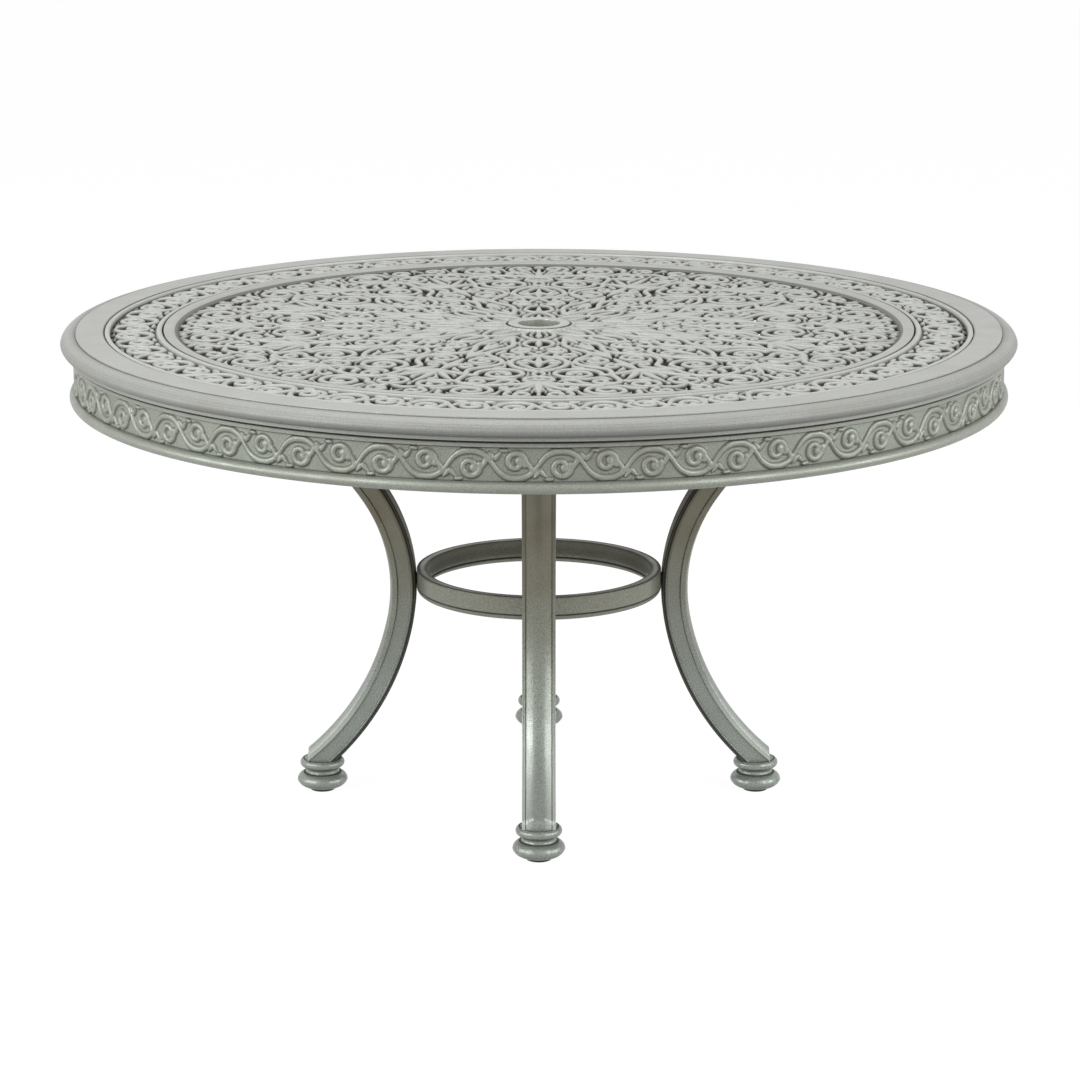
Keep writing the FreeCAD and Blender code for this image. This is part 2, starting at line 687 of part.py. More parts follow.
def turntable_boss():
    """Centre plate under the field, on the upper race."""
    body = new_body("turntable_boss")
    turn(body, block(disc_hole, "bossRadius", boss_seat, field_seat))
    return body


def turntable_spokes():
    """Spokes from the centre plate to the disc's rim."""
    body = new_body("turntable_spokes", turn=180 / number("fieldSectors"))
    low = f"({field_seat} - spokeDepth)"
    sketch = sketch_on(body, "XY_Plane", low)
    far = f"{field_radius} - fieldLedge - fitGap"
    draw(sketch, block("bossRadius", far, "-spokeWidth / 2", "spokeWidth / 2"))
    around(body, [pad(body, sketch, "spokeDepth")], "fieldSectors")
    return body


# Leg curves: three tangent arcs; a line set off from them towards the axis has a positive offset
waist_x = "(legWaist + legWaistBend)"
top_x = "({0} - cos(legTopTurn * 1 deg) * (legWaistBend - legTopBend))".format(waist_x)
top_z = "(legWaistHeight + sin(legTopTurn * 1 deg) * (legWaistBend - legTopBend))"
low_x = "({0} - cos(legFootTurn * 1 deg) * (legWaistBend - legFootBend))".format(waist_x)
low_z = "(legWaistHeight - sin(legFootTurn * 1 deg) * (legWaistBend - legFootBend))"
inner_face = "(legDepth / 2)"
outer_face = "(-legDepth / 2)"


def leg_line(offset, top, foot):
    """The four points of a line along the leg, from a height at the foot to one at the top, and
    the radius of each arc between them."""
    bends = ("legTopBend", "legWaistBend", "legFootBend")
    wide, middle, low = (f"({bend} + {offset})" for bend in bends)
    down, up = "legFootTurn * 1 deg", "legTopTurn * 1 deg"
    points = [
        (f"{low_x} - sqrt({low}^2 - ({foot} - {low_z})^2)", foot),
        (f"{waist_x} - cos({down}) * {middle}", f"legWaistHeight - sin({down}) * {middle}"),
        (f"{waist_x} - cos({up}) * {middle}", f"legWaistHeight + sin({up}) * {middle}"),
        (f"{top_x} - sqrt({wide}^2 - ({top} - {top_z})^2)", top),
    ]
    return points, [low, middle, wide]


def leg_strip(near, far, top, foot):
    """The outline between two lines along the leg, the nearer to the table axis first."""
    up, bends = leg_line(near, top, foot)
    down, back_bends = leg_line(far, top, foot)
    corners = [up[i] + (bends[i], 1) for i in range(3)] + [up[3]]
    corners += [down[3 - i] + (back_bends[2 - i], -1) for i in range(3)] + [down[0]]
    return corners


def leg(side, turned):
    """Bowed leg with a raised outer face, ledges beside it and sunk side panels."""
    body = new_body(f"leg_{side}", turn=turned)
    sketch = sketch_on(body, "XZ_Plane")
    draw(sketch, leg_strip(inner_face, outer_face, leg_top, "footTop"))
    pad(body, sketch, "legWidth", Midplane=True)
    past_top = f"({leg_top} + 1)"
    past_foot = "(footTop - 1)"
    cuts = (
        (f"({inner_face} - legBead)", f"({outer_face} + legStrip)", "legWebDrop"),
        (f"({outer_face} + legLedgeDrop)", f"({outer_face} - 1)", "legLedge"),
        (f"({inner_face} + 1)", f"({inner_face} - legChamfer)", "legChamfer / 2"),
    )
    for near, far, depth in cuts:
        for offset, backwards in (("legWidth / 2", False), ("-legWidth / 2", True)):
            strip = sketch_on(body, "XZ_Plane", offset)
            draw(strip, leg_strip(near, far, past_top, past_foot))
            cut = feature(body, "Pocket", strip, Reversed=backwards)
            cut.setExpression("Length", named(depth))
    toe = sketch_on(body, "XZ_Plane")
    toe_x = "(footCircle + legToe)"
    draw(toe, block(toe_x, f"{toe_x} + legDepth", past_foot, "footTop + legDepth / 2"))
    drill(body, toe)
    hole = sketch_on(body, "YZ_Plane")
    draw_circle(hole, 0, bolt_height, "boltHole")
    socket = feature(body, "Pocket", hole, Reversed=True)
    socket.setExpression("Length", named("stretcherRadius + tieBolt + 1"))
    return body


def leg_plate(side, turned):
    """Plate on top of a leg, bolted up under the arm."""
    body = new_body(f"leg_plate_{side}", z=leg_top, turn=turned)
    sketch = sketch_on(body, "XY_Plane")
    near, far = "plateCentre - plateLength / 2", "plateCentre + plateLength / 2"
    draw(sketch, block(near, far, "-plateWidth / 2", "plateWidth / 2"))
    for across in (bolt_near, bolt_far):
        draw_circle(sketch, across, "boltSpread", "boltHole")
        draw_circle(sketch, across, "-boltSpread", "boltHole")
    pad(body, sketch, "plateThick")
    return body


def foot(side, angle):
    """Turned foot: a flattened bun, a neck and a collar that takes the leg."""
    body = new_body(f"foot_{side}", *spot("footCircle", angle))
    base = "(glideHeight + runGap)"
    bore = "(studRadius + studGap)"
    socket = "(glideHeight + studLength + 3)"
    turn(body, [
        (bore, base),
        ("footBase", base, "bunRadius - footBase", -1),
        ("bunRadius", "bunHeight", "bunCrown", -1),
        ("neckTop", "neckLow", "neckBend", 1),
        ("neckTop", "neckHigh", "collarHeight - neckHigh", -1),
        ("collarRadius", "collarHeight", "footTop - collarHeight", -1),
        ("collarSeat", "footTop"),
        (0, "footTop"),
        (0, socket),
        (bore, socket),
    ])
    return body


def glide(side, angle):
    """Black nylon levelling glide."""
    body = new_body(f"glide_{side}", *spot("footCircle", angle))
    turn(body, [
        (0, 0),
        ("glideRadius - glideEdge", 0),
        ("glideRadius", "glideEdge"),
        ("glideRadius", "glideHeight"),
        (0, "glideHeight"),
    ])
    return body


def glide_stud(side, angle):
    """Steel stud of a levelling glide, screwed up into the foot."""
    body = new_body(f"glide_stud_{side}", *spot("footCircle", angle))
    turn(body, block(0, "studRadius", "glideHeight", "glideHeight + studLength"))
    return body


def stretcher_ring():
    """Flat hoop that ties the legs, with a groove over a rounded lower bead inside and out."""
    body = new_body("stretcher_ring")
    inner = "(stretcherRadius - stretcherWall)"
    top = "(stretcherBase + stretcherHeight)"
    bead = "(stretcherBase + stretcherRound)"
    corners = [
        (inner, top),
        ("stretcherRadius", top),
        ("stretcherRadius", f"{bead} + 2 * stretcherGroove"),
        ("stretcherRadius - stretcherGroove", f"{bead} + stretcherGroove"),
        ("stretcherRadius", bead, "stretcherRound", 1),
        ("stretcherRadius - stretcherRound", "stretcherBase"),
        (f"{inner} + stretcherRound", "stretcherBase", "stretcherRound", 1),
        (inner, bead),
        (f"{inner} + stretcherGroove", f"{bead} + stretcherGroove"),
        (inner, f"{bead} + 2 * stretcherGroove"),
    ]
    turn(body, corners)
    sketch = sketch_on(body, "YZ_Plane")
    draw_circle(sketch, 0, bolt_height, "boltHole")
    around(body, [drill(body, sketch)], 2, 90.0)
    return body


def stretcher_spacers():
    """Washers between the ring and the legs."""
    body = new_body("stretcher_spacers")
    sketch = sketch_on(body, "YZ_Plane", "stretcherRadius")
    draw_circle(sketch, 0, bolt_height, "spacerRadius")
    draw_circle(sketch, 0, bolt_height, "boltHole")
    around(body, [pad(body, sketch, "spacerGap")], 4)
    return body


def stretcher_bolts():
    """Bolts from inside the ring into the legs."""
    body = new_body("stretcher_bolts")
    face = "(stretcherRadius - stretcherWall - 0.3)"
    head = sketch_on(body, "YZ_Plane", f"{face} - headHeight")
    draw_circle(head, 0, bolt_height, "headRadius")
    shank = sketch_on(body, "YZ_Plane", face)
    draw_circle(shank, 0, bolt_height, "boltRadius")
    parts = [pad(body, head, "headHeight"), pad(body, shank, "stretcherWall + tieBolt")]
    around(body, parts, 4)
    return body


def bolts(label, circles, spread, low, length, radius, head, head_height, count=4, turned=0):
    """Upright bolts with their heads below, in pairs each side of every arm."""
    body = new_body(label, turn=turned)
    profile = [
        (0, f"{low} - {head_height}"),
        (head, f"{low} - {head_height}"),
        (head, low),
        (radius, low),
        (radius, f"{low} + {length}"),
        (0, f"{low} + {length}"),
    ]
    places = [(circle, sign) for circle in circles for sign in (("", "-") if spread else ("",))]
    made = [turn(body, profile, circle, f"{sign}{spread}" if spread else 0) for circle, sign in places]
    around(body, made, count)
    return body


def nuts(label, circles, low):
    """Nuts above the arms' lower flanges."""
    body = new_body(label)
    ring = block("boltHole", "headRadius", low, f"{low} + boltNutHeight")
    made = [turn(body, ring, circle, f"{sign}boltSpread") for circle in circles for sign in ("", "-")]
    around(body, made, 4)
    return body


bodies = [rim_casting(), scroll_band(), scroll_disc(), ledge_ring(), slide_pads(), apron_ring()]
bodies += [spider_hub(), umbrella_tube(), ring_nut()]
bodies += [race("lower_race", race_seat, ball_height), race("upper_race", race_high, ball_height)]
bodies += [ball_cage(), bearing_balls(), turntable_rim(), turntable_boss(), turntable_spokes()]
bodies += [stretcher_ring(), stretcher_spacers(), stretcher_bolts()]
for side, angle in SIDES.items():
    bodies += [spider_arm(side, angle), leg(side, angle), leg_plate(side, angle)]
    bodies += [foot(side, angle), glide(side, angle), glide_stud(side, angle)]

bolt = ("boltRadius", "headRadius", "headHeight")
screw = ("screwRadius", "screwHeadRadius", "screwHeadHeight")
grip = "armFlange + boltNutHeight + 1.5"
arm_low_face = f"({arm_top} - armFlange)"
flange_face = f"({rim_under} - apronTongue)"
bodies += [
    bolts("leg_bolts", (bolt_near, bolt_far), "boltSpread", leg_top, f"plateThick + {grip}", *bolt),
    bolts("hub_bolts", ("hubBoltCircle",), "boltSpread", hub_base, f"hubFlange + {grip}", *bolt),
    bolts("rim_screws", (rim_screw,), "screwSpread", arm_low_face, "armFlange + screwBite", *screw),
    bolts("ledge_screws", (ledge_screw,), "screwSpread", arm_low_face, "armFlange + screwBite", *screw),
    bolts("apron_screws", (apron_screw,), None, flange_face, "apronTongue + apronBite", *screw,
          count="apronScrews", turned=180 / number("apronScrews")),
    nuts("frame_nuts", (bolt_near, bolt_far, "hubBoltCircle"), f"({arm_base} + armFlange)"),
]
doc.recompute()

faults = [f"{thing.Name} {thing.State}" for thing in doc.Objects
          if {"Invalid", "Error"} & set(thing.State)]
for body in bodies:
    shape = body.Shape
    if shape.isNull() or not shape.isValid() or shape.Volume <= 0:
        faults.append(f"{body.Label} has no sound shape")
if faults:
    raise SystemExit("\n".join(faults))

os.makedirs("parts", exist_ok=True)
for body in bodies:
    body.Shape.exportStep(f"parts/{body.Label}.step")
    box = body.Shape.BoundBox
    print(f"{body.Label:20s} {len(body.Shape.Solids):3d} solids {body.Shape.Volume / 1000:10.1f} cm3"
          f"  x {box.XMin:.1f} {box.XMax:.1f}  z {box.ZMin:.1f} {box.ZMax:.1f}")
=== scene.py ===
from math import acos, atan2, cos, pi, radians, sin, sqrt
import bpy
import numpy as np
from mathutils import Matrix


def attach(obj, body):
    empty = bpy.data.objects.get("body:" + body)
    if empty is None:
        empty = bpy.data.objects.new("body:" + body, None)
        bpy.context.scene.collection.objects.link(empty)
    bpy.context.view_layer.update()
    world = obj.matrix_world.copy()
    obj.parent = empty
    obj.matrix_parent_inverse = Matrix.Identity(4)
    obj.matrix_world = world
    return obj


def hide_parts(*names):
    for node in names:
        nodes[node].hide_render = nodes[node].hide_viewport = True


# Round umbrella table in powder coated cast aluminium: pierced scrollwork top, bullnose rim,
# apron with a running scroll, four bowed legs on bun feet, a hoop that ties the legs.
# The table is in millimetres until meshPiece; camera, floor and lamps are in metres.

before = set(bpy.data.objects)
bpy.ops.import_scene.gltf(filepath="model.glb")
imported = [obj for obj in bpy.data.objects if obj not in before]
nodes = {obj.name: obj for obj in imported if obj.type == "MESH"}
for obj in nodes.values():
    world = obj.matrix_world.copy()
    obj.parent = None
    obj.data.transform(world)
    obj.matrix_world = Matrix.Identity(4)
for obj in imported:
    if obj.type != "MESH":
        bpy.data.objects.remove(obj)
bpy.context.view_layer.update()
scene = bpy.context.scene
scene.view_settings.view_transform = "Standard"
print("frame loaded,", len(nodes), "nodes")

sides = {"right": 0, "back": 90, "left": 180, "front": 270}  # degrees of each leg round the table


# Colours and shader nodes

def toLinear(code):  # "#rrggbb" as drawn on screen, to the linear values shaders use
    shares = [int(code[k:k + 2], 16) / 255 for k in (1, 3, 5)]
    return [s / 12.92 if s <= 0.04045 else ((s + 0.055) / 1.055) ** 2.4 for s in shares] + [1.0]


def addNode(tree, kind, settings, links=()):  # kind is a ShaderNode's; what comes back is its outputs
    made = tree.nodes.new("ShaderNode" + kind)
    for name, value in settings.items():
        if isinstance(name, str) and hasattr(made, name):
            setattr(made, name, value)
        else:
            made.inputs[name].default_value = value
    for name, source in dict(links).items():
        tree.links.new(source, made.inputs[name])
    return made.outputs


def blankTree(owner):  # the emptied node tree of a new material or world
    owner.use_nodes = True
    owner.node_tree.nodes.clear()
    return owner.node_tree


def mapped(fromLow, fromHigh, toLow, toHigh):  # settings that turn one range of values into another
    return {"From Min": fromLow, "From Max": fromHigh, "To Min": toLow, "To Max": toHigh}


coat = {
    "noises": (("fleck", 2.0, 0.6), ("cloud", 3.0, 0.55), ("grain", 3.0, 0.5)),  # detail and roughness
    "speck": (0.34, 0.66), "clouds": (0.35, 0.7), "sheen": (0.3, 0.7),  # part of each noise that shows
    "rise": (0.18, 0.42),  # metres over the floor between which the painted brown shade under the top sets in
    "paintedHighlight": (1.0, 2.0),  # part of the relief attribute that stands for painted highlights
    # the last is the roughness where the painted shade lies
    "smoother": 0.06, "rougher": 0.08, "paintedShadeRoughness": 0.9,
}


def newFinish(name):  # a material, its emptied tree, and the object's own coordinates
    finish = bpy.data.materials.new(name)
    tree = blankTree(finish)
    return finish, tree, addNode(tree, "TexCoord", {})["Object"]


def coatSurface(tree, look, colour, sheen, height, depth):  # the end of every finish
    bump = addNode(tree, "Bump", {"Strength": look["bump"], "Distance": depth}, {"Height": height})
    shader = addNode(tree, "BsdfPrincipled", {
        "Metallic": look["metallic"], "Specular IOR Level": look.get("specular", 0.5),
    }, {"Base Color": colour, "Roughness": sheen, "Normal": bump["Normal"]})
    addNode(tree, "OutputMaterial", {}, {"Surface": shader["BSDF"]})


# Powder coated cast aluminium: a satin film with a fine metal fleck over a slightly grainy casting.
# It gives the eye a soft grey-green sheen, a faint sparkle, and painted shade in the hollows and creases.
# A colour mix takes its share in socket 0 and its colours in 6 and 7, a number mix in 0, 2 and 3.
def castCoat(name, look):
    finish, tree, place = newFinish(name)
    fleck, cloud, grain = [
        addNode(tree, "TexNoise", {
            "Scale": 1000 / look[kind], "Detail": detail, "Roughness": rough,
        }, {"Vector": place})["Fac"] for kind, detail, rough in coat["noises"]]
    speck = addNode(tree, "MapRange", mapped(*coat["speck"], 0.0, 1.0), {"Value": fleck})
    colour = addNode(tree, "Mix", {
        "data_type": "RGBA", 6: toLinear(look["dark"]), 7: toLinear(look["pale"]),
    }, {0: speck["Result"]})[2]
    share = addNode(tree, "MapRange", mapped(*coat["clouds"], 0.0, look["patina"]),
                    {"Value": cloud})["Result"]
    # the relief attribute: below 1 how clear of painted shade a place is, above 1 how much painted highlight
    # it gets
    depth = addNode(tree, "Attribute", {"attribute_name": "relief"})["Fac"]
    if look.get("paintedShadeUnderTop"):  # painted brown shade, heavier under the top, and painted highlights where the relief is over 1
        parts = addNode(tree, "SeparateXYZ", {}, {0: place})
        rise = addNode(tree, "MapRange", mapped(*coat["rise"], 0.0, look["paintedShadeUnderTop"]),
                       {"Value": parts["Z"]})
        share = addNode(tree, "Math", {"operation": "ADD", "use_clamp": True},
                        {0: share, 1: rise["Result"]})[0]
        paintedHighlight = addNode(tree, "MapRange", mapped(*coat["paintedHighlight"], 0.0, look["paintedHighlightAmount"]),
                         {"Value": depth})
        colour = addNode(tree, "Mix", {"data_type": "RGBA", 7: toLinear(look["paintedHighlight"])},
                         {0: paintedHighlight["Result"], 6: colour})[2]
    colour = addNode(tree, "Mix", {"data_type": "RGBA", 7: toLinear(look["warm"])},
                     {0: share, 6: colour})[2]
    roughness = look["roughness"] - coat["smoother"], look["roughness"] + coat["rougher"]
    sheen = addNode(tree, "MapRange", mapped(*coat["sheen"], *roughness),
                    {"Value": cloud})["Result"]
    if look.get("paintedShadeAmount"):  # painted shade in the hollows and creases, drawn matt
        low = addNode(tree, "MapRange", mapped(0.0, look["paintedShadeBelow"], look["paintedShadeAmount"], 0.0),
                      {"Value": depth})["Result"]
        colour = addNode(tree, "Mix", {"data_type": "RGBA", 7: toLinear(look["shade"])},
                         {0: low, 6: colour})[2]
        sheen = addNode(tree, "Mix", {3: coat["paintedShadeRoughness"]}, {0: low, 2: sheen})[0]
    coatSurface(tree, look, colour, sheen, grain, 0.0004)
    return finish


# Finishes of small parts: one colour with faint clouds, and a bump as deep as its making leaves
def plainFinish(name, look):
    finish, tree, place = newFinish(name)
    cloud = addNode(tree, "TexNoise", {"Scale": 1000 / look["grain"], "Detail": 4.0},
                    {"Vector": place})["Fac"]
    colour = addNode(tree, "Mix", {
        "data_type": "RGBA", 6: toLinear(look["dark"]), 7: toLinear(look["pale"]),
    }, {0: cloud})[2]
    roughness = look["roughness"] - 0.08, look["roughness"] + 0.1
    sheen = addNode(tree, "MapRange", mapped(0.0, 1.0, *roughness), {"Value": cloud})
    coatSurface(tree, look, colour, sheen["Result"], cloud, 0.0003)
    return finish


# The fleck is 0.1 mm on the real coat and the casting's grain 0.5 mm; both are drawn coarser to show.
# Rim: the coat over a dressed casting, smooth and pale with a soft shine
rimCoat = castCoat("powderCoatPewterRim", {
    "pale": "#c0c2be", "dark": "#a8aaa5", "warm": "#afada4", "patina": 0.4, "fleck": 1.6, "cloud": 60,
    "grain": 1.5, "bump": 0.14, "metallic": 0.28, "roughness": 0.46,
    "paintedShadeAmount": 0.85, "paintedShadeBelow": 0.95, "shade": "#3f403a",
})
# Scrollwork: pale on its crowns, with painted shade between the strokes and down the openings
scrollCoat = castCoat("powderCoatPewterScrollwork", {
    "pale": "#cccec9", "dark": "#b6b8b3", "warm": "#bbb9b0", "patina": 0.3, "fleck": 1.6, "cloud": 50,
    "grain": 1.5, "bump": 0.10, "metallic": 0.25, "roughness": 0.46,
    "paintedShadeAmount": 0.92, "paintedShadeBelow": 0.80, "shade": "#34352f",
})
# Apron: the coat on a sand-cast relief, darker and grainier than the rim
apronCoat = castCoat("powderCoatPewterRelief", {
    "pale": "#a6aba1", "dark": "#83887e", "warm": "#929084", "patina": 0.4, "fleck": 1.5, "cloud": 45,
    "grain": 2.2, "bump": 0.45, "metallic": 0.38, "roughness": 0.42,
    "paintedShadeAmount": 0.80, "paintedShadeBelow": 0.80, "shade": "#3c3d36",
})
# Legs, feet and hoop: a glossier coat with painted brown shade under the top; the legs also get painted
# highlights on their low outer faces
legLook = {
    "pale": "#b1b8b0", "dark": "#7b837c", "warm": "#786f5b", "patina": 0.14, "paintedShadeUnderTop": 0.72,
    "paintedHighlight": "#dde2dc", "paintedHighlightAmount": 0.0, "specular": 0.2,
    "fleck": 1.6, "cloud": 55, "grain": 1.5, "bump": 0.28, "metallic": 0.44, "roughness": 0.35,
    "paintedShadeAmount": 0.97, "paintedShadeBelow": 0.95, "shade": "#211c12",
}
legCoat = castCoat("powderCoatPewterLegs", {**legLook, "paintedHighlightAmount": 0.55})
footCoat = castCoat("powderCoatPewterFeet", legLook)
# Umbrella tube: the leg coat on a turned wall, painted paler for the light its bore reflects, and without
# the painted brown shade
tubePaintedBrightCoat = castCoat("powderCoatPewterTubePaintedBright", {
    **legLook, "pale": "#cdd1c9", "dark": "#a0a59c", "paintedShadeUnderTop": 0.0, "metallic": 0.4, "roughness": 0.28,
})
# Underside: the same coat painted a dark grey-brown as shade, dull
undersidePaintedShadeCoat = castCoat("powderCoatPewterUndersidePaintedShade", {
    "pale": "#77766d", "dark": "#5f5e56", "warm": "#5d574c", "patina": 0.5, "fleck": 1.6, "cloud": 70,
    "grain": 1.5, "bump": 0.15, "metallic": 0.35, "roughness": 0.46,
})
# Zinc plating on steel: cool pale grey, satin
zincSteel = plainFinish("zincPlatedSteel", {
    "pale": "#b6b8b8", "dark": "#8f9292", "grain": 3, "metallic": 1.0, "roughness": 0.36, "bump": 0.05,
})
# Ground and polished steel: bright, with sharp reflections
bearingSteel = plainFinish("polishedBearingSteel", {
    "pale": "#c2c3c3", "dark": "#aeb0b0", "grain": 12, "metallic": 1.0, "roughness": 0.16, "bump": 0.01,
})
# Nylon in its own colour: waxy off-white
paleNylon = plainFinish("naturalNylon", {
    "pale": "#e2ded2", "dark": "#d2cdbf", "grain": 4, "metallic": 0.0, "roughness": 0.5, "bump": 0.06,
})
# Nylon moulded in black: nearly black with a soft shine
blackNylon = plainFinish("mouldedBlackNylon", {
    "pale": "#26262a", "dark": "#17171a", "grain": 2, "metallic": 0.0, "roughness": 0.48, "bump": 0.10,
})
print("finishes made")


# Mesh helpers

def placed(name, data):
    thing = bpy.data.objects.new(name, data)
    scene.collection.objects.link(thing)
    return thing


def meshPiece(name, points, groups, finish, body, replaced, crease, relief):
    # groups: point numbers, one row a face; every piece is a closed skin
    points = np.asarray(points, float)
    volume = 0.0
    for group in groups:
        first = points[group[:, 0]]
        for k in range(1, group.shape[1] - 1):
            volume += np.einsum("ij,ij->", first, np.cross(points[group[:, k]], points[group[:, k + 1]]))
    if volume < 0:  # the faces look inwards, so they are turned round
        groups = [group[:, ::-1] for group in groups]
    mesh = bpy.data.meshes.new(name)
    corners = np.concatenate([group.ravel() for group in groups]).astype(np.int32)
    counts = np.concatenate([np.full(len(group), group.shape[1]) for group in groups])
    for part, count, field, values in (
            (mesh.vertices, len(points), "co", (points / 1000).astype(np.float32).ravel()),
            (mesh.loops, len(corners), "vertex_index", corners),
            (mesh.polygons, len(counts), "loop_start", (np.cumsum(counts) - counts).astype(np.int32))):
        part.add(count)
        part.foreach_set(field, values)
    mesh.update(calc_edges=True)
    mesh.validate()
    mesh.polygons.foreach_set("use_smooth", np.ones(len(mesh.polygons), bool))
    mesh.set_sharp_from_angle(angle=radians(crease))
    # relief carries the painted shade (below 1) and the painted highlights (above 1) to the finish
    mesh.attributes.new("relief", "FLOAT", "POINT").data.foreach_set("value", relief.astype(np.float32))
    mesh.materials.append(finish)
    piece = placed(name, mesh)
    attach(piece, body)
    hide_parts(*replaced)


def bowed(start, end, radius, bulge, count=14):  # points of an arc; +1 bulges left of the way
    start, end = np.array(start, float), np.array(end, float)
    chord = end - start
    half = np.linalg.norm(chord) / 2
    left = np.array([-chord[1], chord[0]]) / (2 * half)
    centre = (start + end) / 2 - left * bulge * sqrt(max(radius ** 2 - half ** 2, 0))
    a = atan2(*(start - centre)[::-1])
    b = atan2(*(end - centre)[::-1])
    turn = (b - a + pi) % (2 * pi) - pi
    steps = np.linspace(0, 1, count)
    return [centre + radius * np.array([cos(a + turn * t), sin(a + turn * t)]) for t in steps]


def outline(corners):
    # corners: (across, up) or (across, up, rounding), with ("arc", radius, bulge) between two of them
    points, rounding = [], []
    for k, corner in enumerate(corners):
        if corner[0] == "arc":
            following = corners[(k + 1) % len(corners)]
            between = bowed(corners[k - 1][:2], following[:2], corner[1], corner[2])[1:-1]
            points += between
            rounding += [0] * len(between)
        else:
            points.append(np.array(corner[:2], float))
            rounding.append(corner[2] if len(corner) > 2 else 0)
    done = []
    for k, point in enumerate(points):
        if not rounding[k]:
            done.append(point)
            continue
        ways = points[k - 1] - point, points[(k + 1) % len(points)] - point
        lengths = [np.linalg.norm(way) for way in ways]
        reach = min(rounding[k], lengths[0] * 0.45, lengths[1] * 0.45)
        one, other = (point + way / length * reach for way, length in zip(ways, lengths))
        for t in np.linspace(0, 1, 5):
            done.append(one * (1 - t) ** 2 + point * 2 * t * (1 - t) + other * t ** 2)
    return np.array(done)


def outlineWithPaintedShade(corners, paintedShadeSpots, reach=1.8, added=(1.8, 4.5)):
    # adds points along the edges and tells how clear of painted shade each point is; a painted shade spot
    # is (across, up), and may say how far the shade reaches and how clear its middle is
    profile = outline(corners)
    points = []
    for point, following in zip(profile, np.roll(profile, -1, 0)):
        points.append(point)
        length = np.linalg.norm(following - point)
        if length > 2:
            steps = [step for step in added if step < length / 2]
            shares = [step / length for step in steps] + [0.5]
            shares += [1 - step / length for step in steps[::-1]]
            points += [point + (following - point) * share for share in shares]
    points = np.array(points)
    clear = np.ones(len(points))
    for spot in paintedShadeSpots:
        across, up, width, least = (*spot, *(reach, 0.0)[len(spot) - 2:])
        away = np.hypot(points[:, 0] - across, points[:, 1] - up) / width
        clear = np.minimum(clear, least + (1 - least) * np.clip(away, 0, 1))
    return points, clear


def skinned(rows, wrap):  # faces between rows of points; each row is a closed loop
    count, size = rows.shape[:2]
    number = np.arange(count * size).reshape(count, size)
    near = number if wrap else number[:-1]
    far = np.roll(number, -1, 0) if wrap else number[1:]
    faces = [np.stack([near, far, np.roll(far, -1, 1), np.roll(near, -1, 1)], -1).reshape(-1, 4)]
    if not wrap:
        faces += [number[:1, ::-1], number[-1:]]
    return faces


def turnedPiece(name, shape, finish, body, replaced, centre=(0, 0)):
    # shape has the outline's corners, its painted shade spots, and how many steps it takes round the axis
    profile, clear = outlineWithPaintedShade(shape["corners"], shape.get("paintedShadeSpots", ()))
    steps = shape.get("steps", 360)
    angle = np.arange(steps) * 2 * pi / steps
    rows = np.empty((steps, len(profile), 3))
    rows[:, :, 0] = centre[0] + profile[None, :, 0] * np.cos(angle)[:, None]
    rows[:, :, 1] = centre[1] + profile[None, :, 0] * np.sin(angle)[:, None]
    rows[:, :, 2] = profile[None, :, 1]
    meshPiece(name, rows.reshape(-1, 3), skinned(rows, True), finish, body, replaced, 35,
              np.tile(clear, steps))


def turned(x, y, angle):  # a place turned about the table's axis
    c, s = cos(angle), sin(angle)
    return c * x - s * y, s * x + c * y


# Scroll drawing: a stroke is rows of x, y and half width. A drawing has two fields on one grid:
# depth inside the strokes, below zero on open ground, and level, how high each point stands, 0 to 1

drawing = {
    "far": 16.0,  # depth is told as far as this from a stroke
    "shoulder": 0.6, "fall": 2.5,  # how a stroke's top falls away to its sides
    "tie": 0.4, "tieReaches": (1, 1, 2, 2, 3), "tieDepth": 0.9, "tieMore": 0.25, "cut": -0.5,
    "least": 0.08,  # nearer to a grid point than this, a cut would leave slivers
    "most": 0.92, "sideLevel": 0.5,
}


def curve(points, wide, count=60):  # Bezier curve of any order, its width swelling and tapering
    t = np.linspace(0, 1, count)[:, None]
    rows = [np.repeat(np.array(p, float)[None], count, 0) for p in points]
    while len(rows) > 1:
        rows = [a * (1 - t) + b * t for a, b in zip(rows, rows[1:])]
    widths = np.interp(t[:, 0], np.linspace(0, 1, len(wide)), wide)
    return np.column_stack([rows[0], widths])


def curl(centre, radius, start, hand, turns, wide, inner=0.24, bud=0.17, tight=1.15):
    # spiral arm and its bud; a higher tight keeps the arm's first turn rounder
    t = np.linspace(0, 1, int(30 + 50 * turns))
    angle = start + hand * turns * 2 * pi * t
    reach = (radius - wide) * (1 - (1 - inner) * t ** tight)
    arm = np.column_stack([
        centre[0] + reach * np.cos(angle), centre[1] + reach * np.sin(angle), wide * (1 - 0.2 * t),
    ])
    end = arm[-1:].copy()
    end[:, 2] = max(wide * 1.35, radius * bud)
    return [arm, end]


def leaf(base, angle, length, wide, bend, count=24):  # pointed leaf that turns as it grows
    t = np.linspace(0, 1, count)
    way = angle + bend * t
    x = base[0] + np.concatenate([[0], np.cumsum(np.cos(way[:-1]))]) * length / (count - 1)
    y = base[1] + np.concatenate([[0], np.cumsum(np.sin(way[:-1]))]) * length / (count - 1)
    return np.column_stack([x, y, wide * (0.45 + 0.9 * np.sin(np.pi * t ** 0.8)) * (1 - 0.55 * t)])


def spaced(stroke, step):  # the stroke with even steps between its points
    if len(stroke) < 2:
        return stroke
    along = np.concatenate([[0], np.cumsum(np.hypot(*np.diff(stroke[:, :2], axis=0).T))])
    places = np.linspace(0, along[-1], max(2, int(along[-1] / step) + 1))
    return np.column_stack([np.interp(places, along, stroke[:, k]) for k in range(3)])


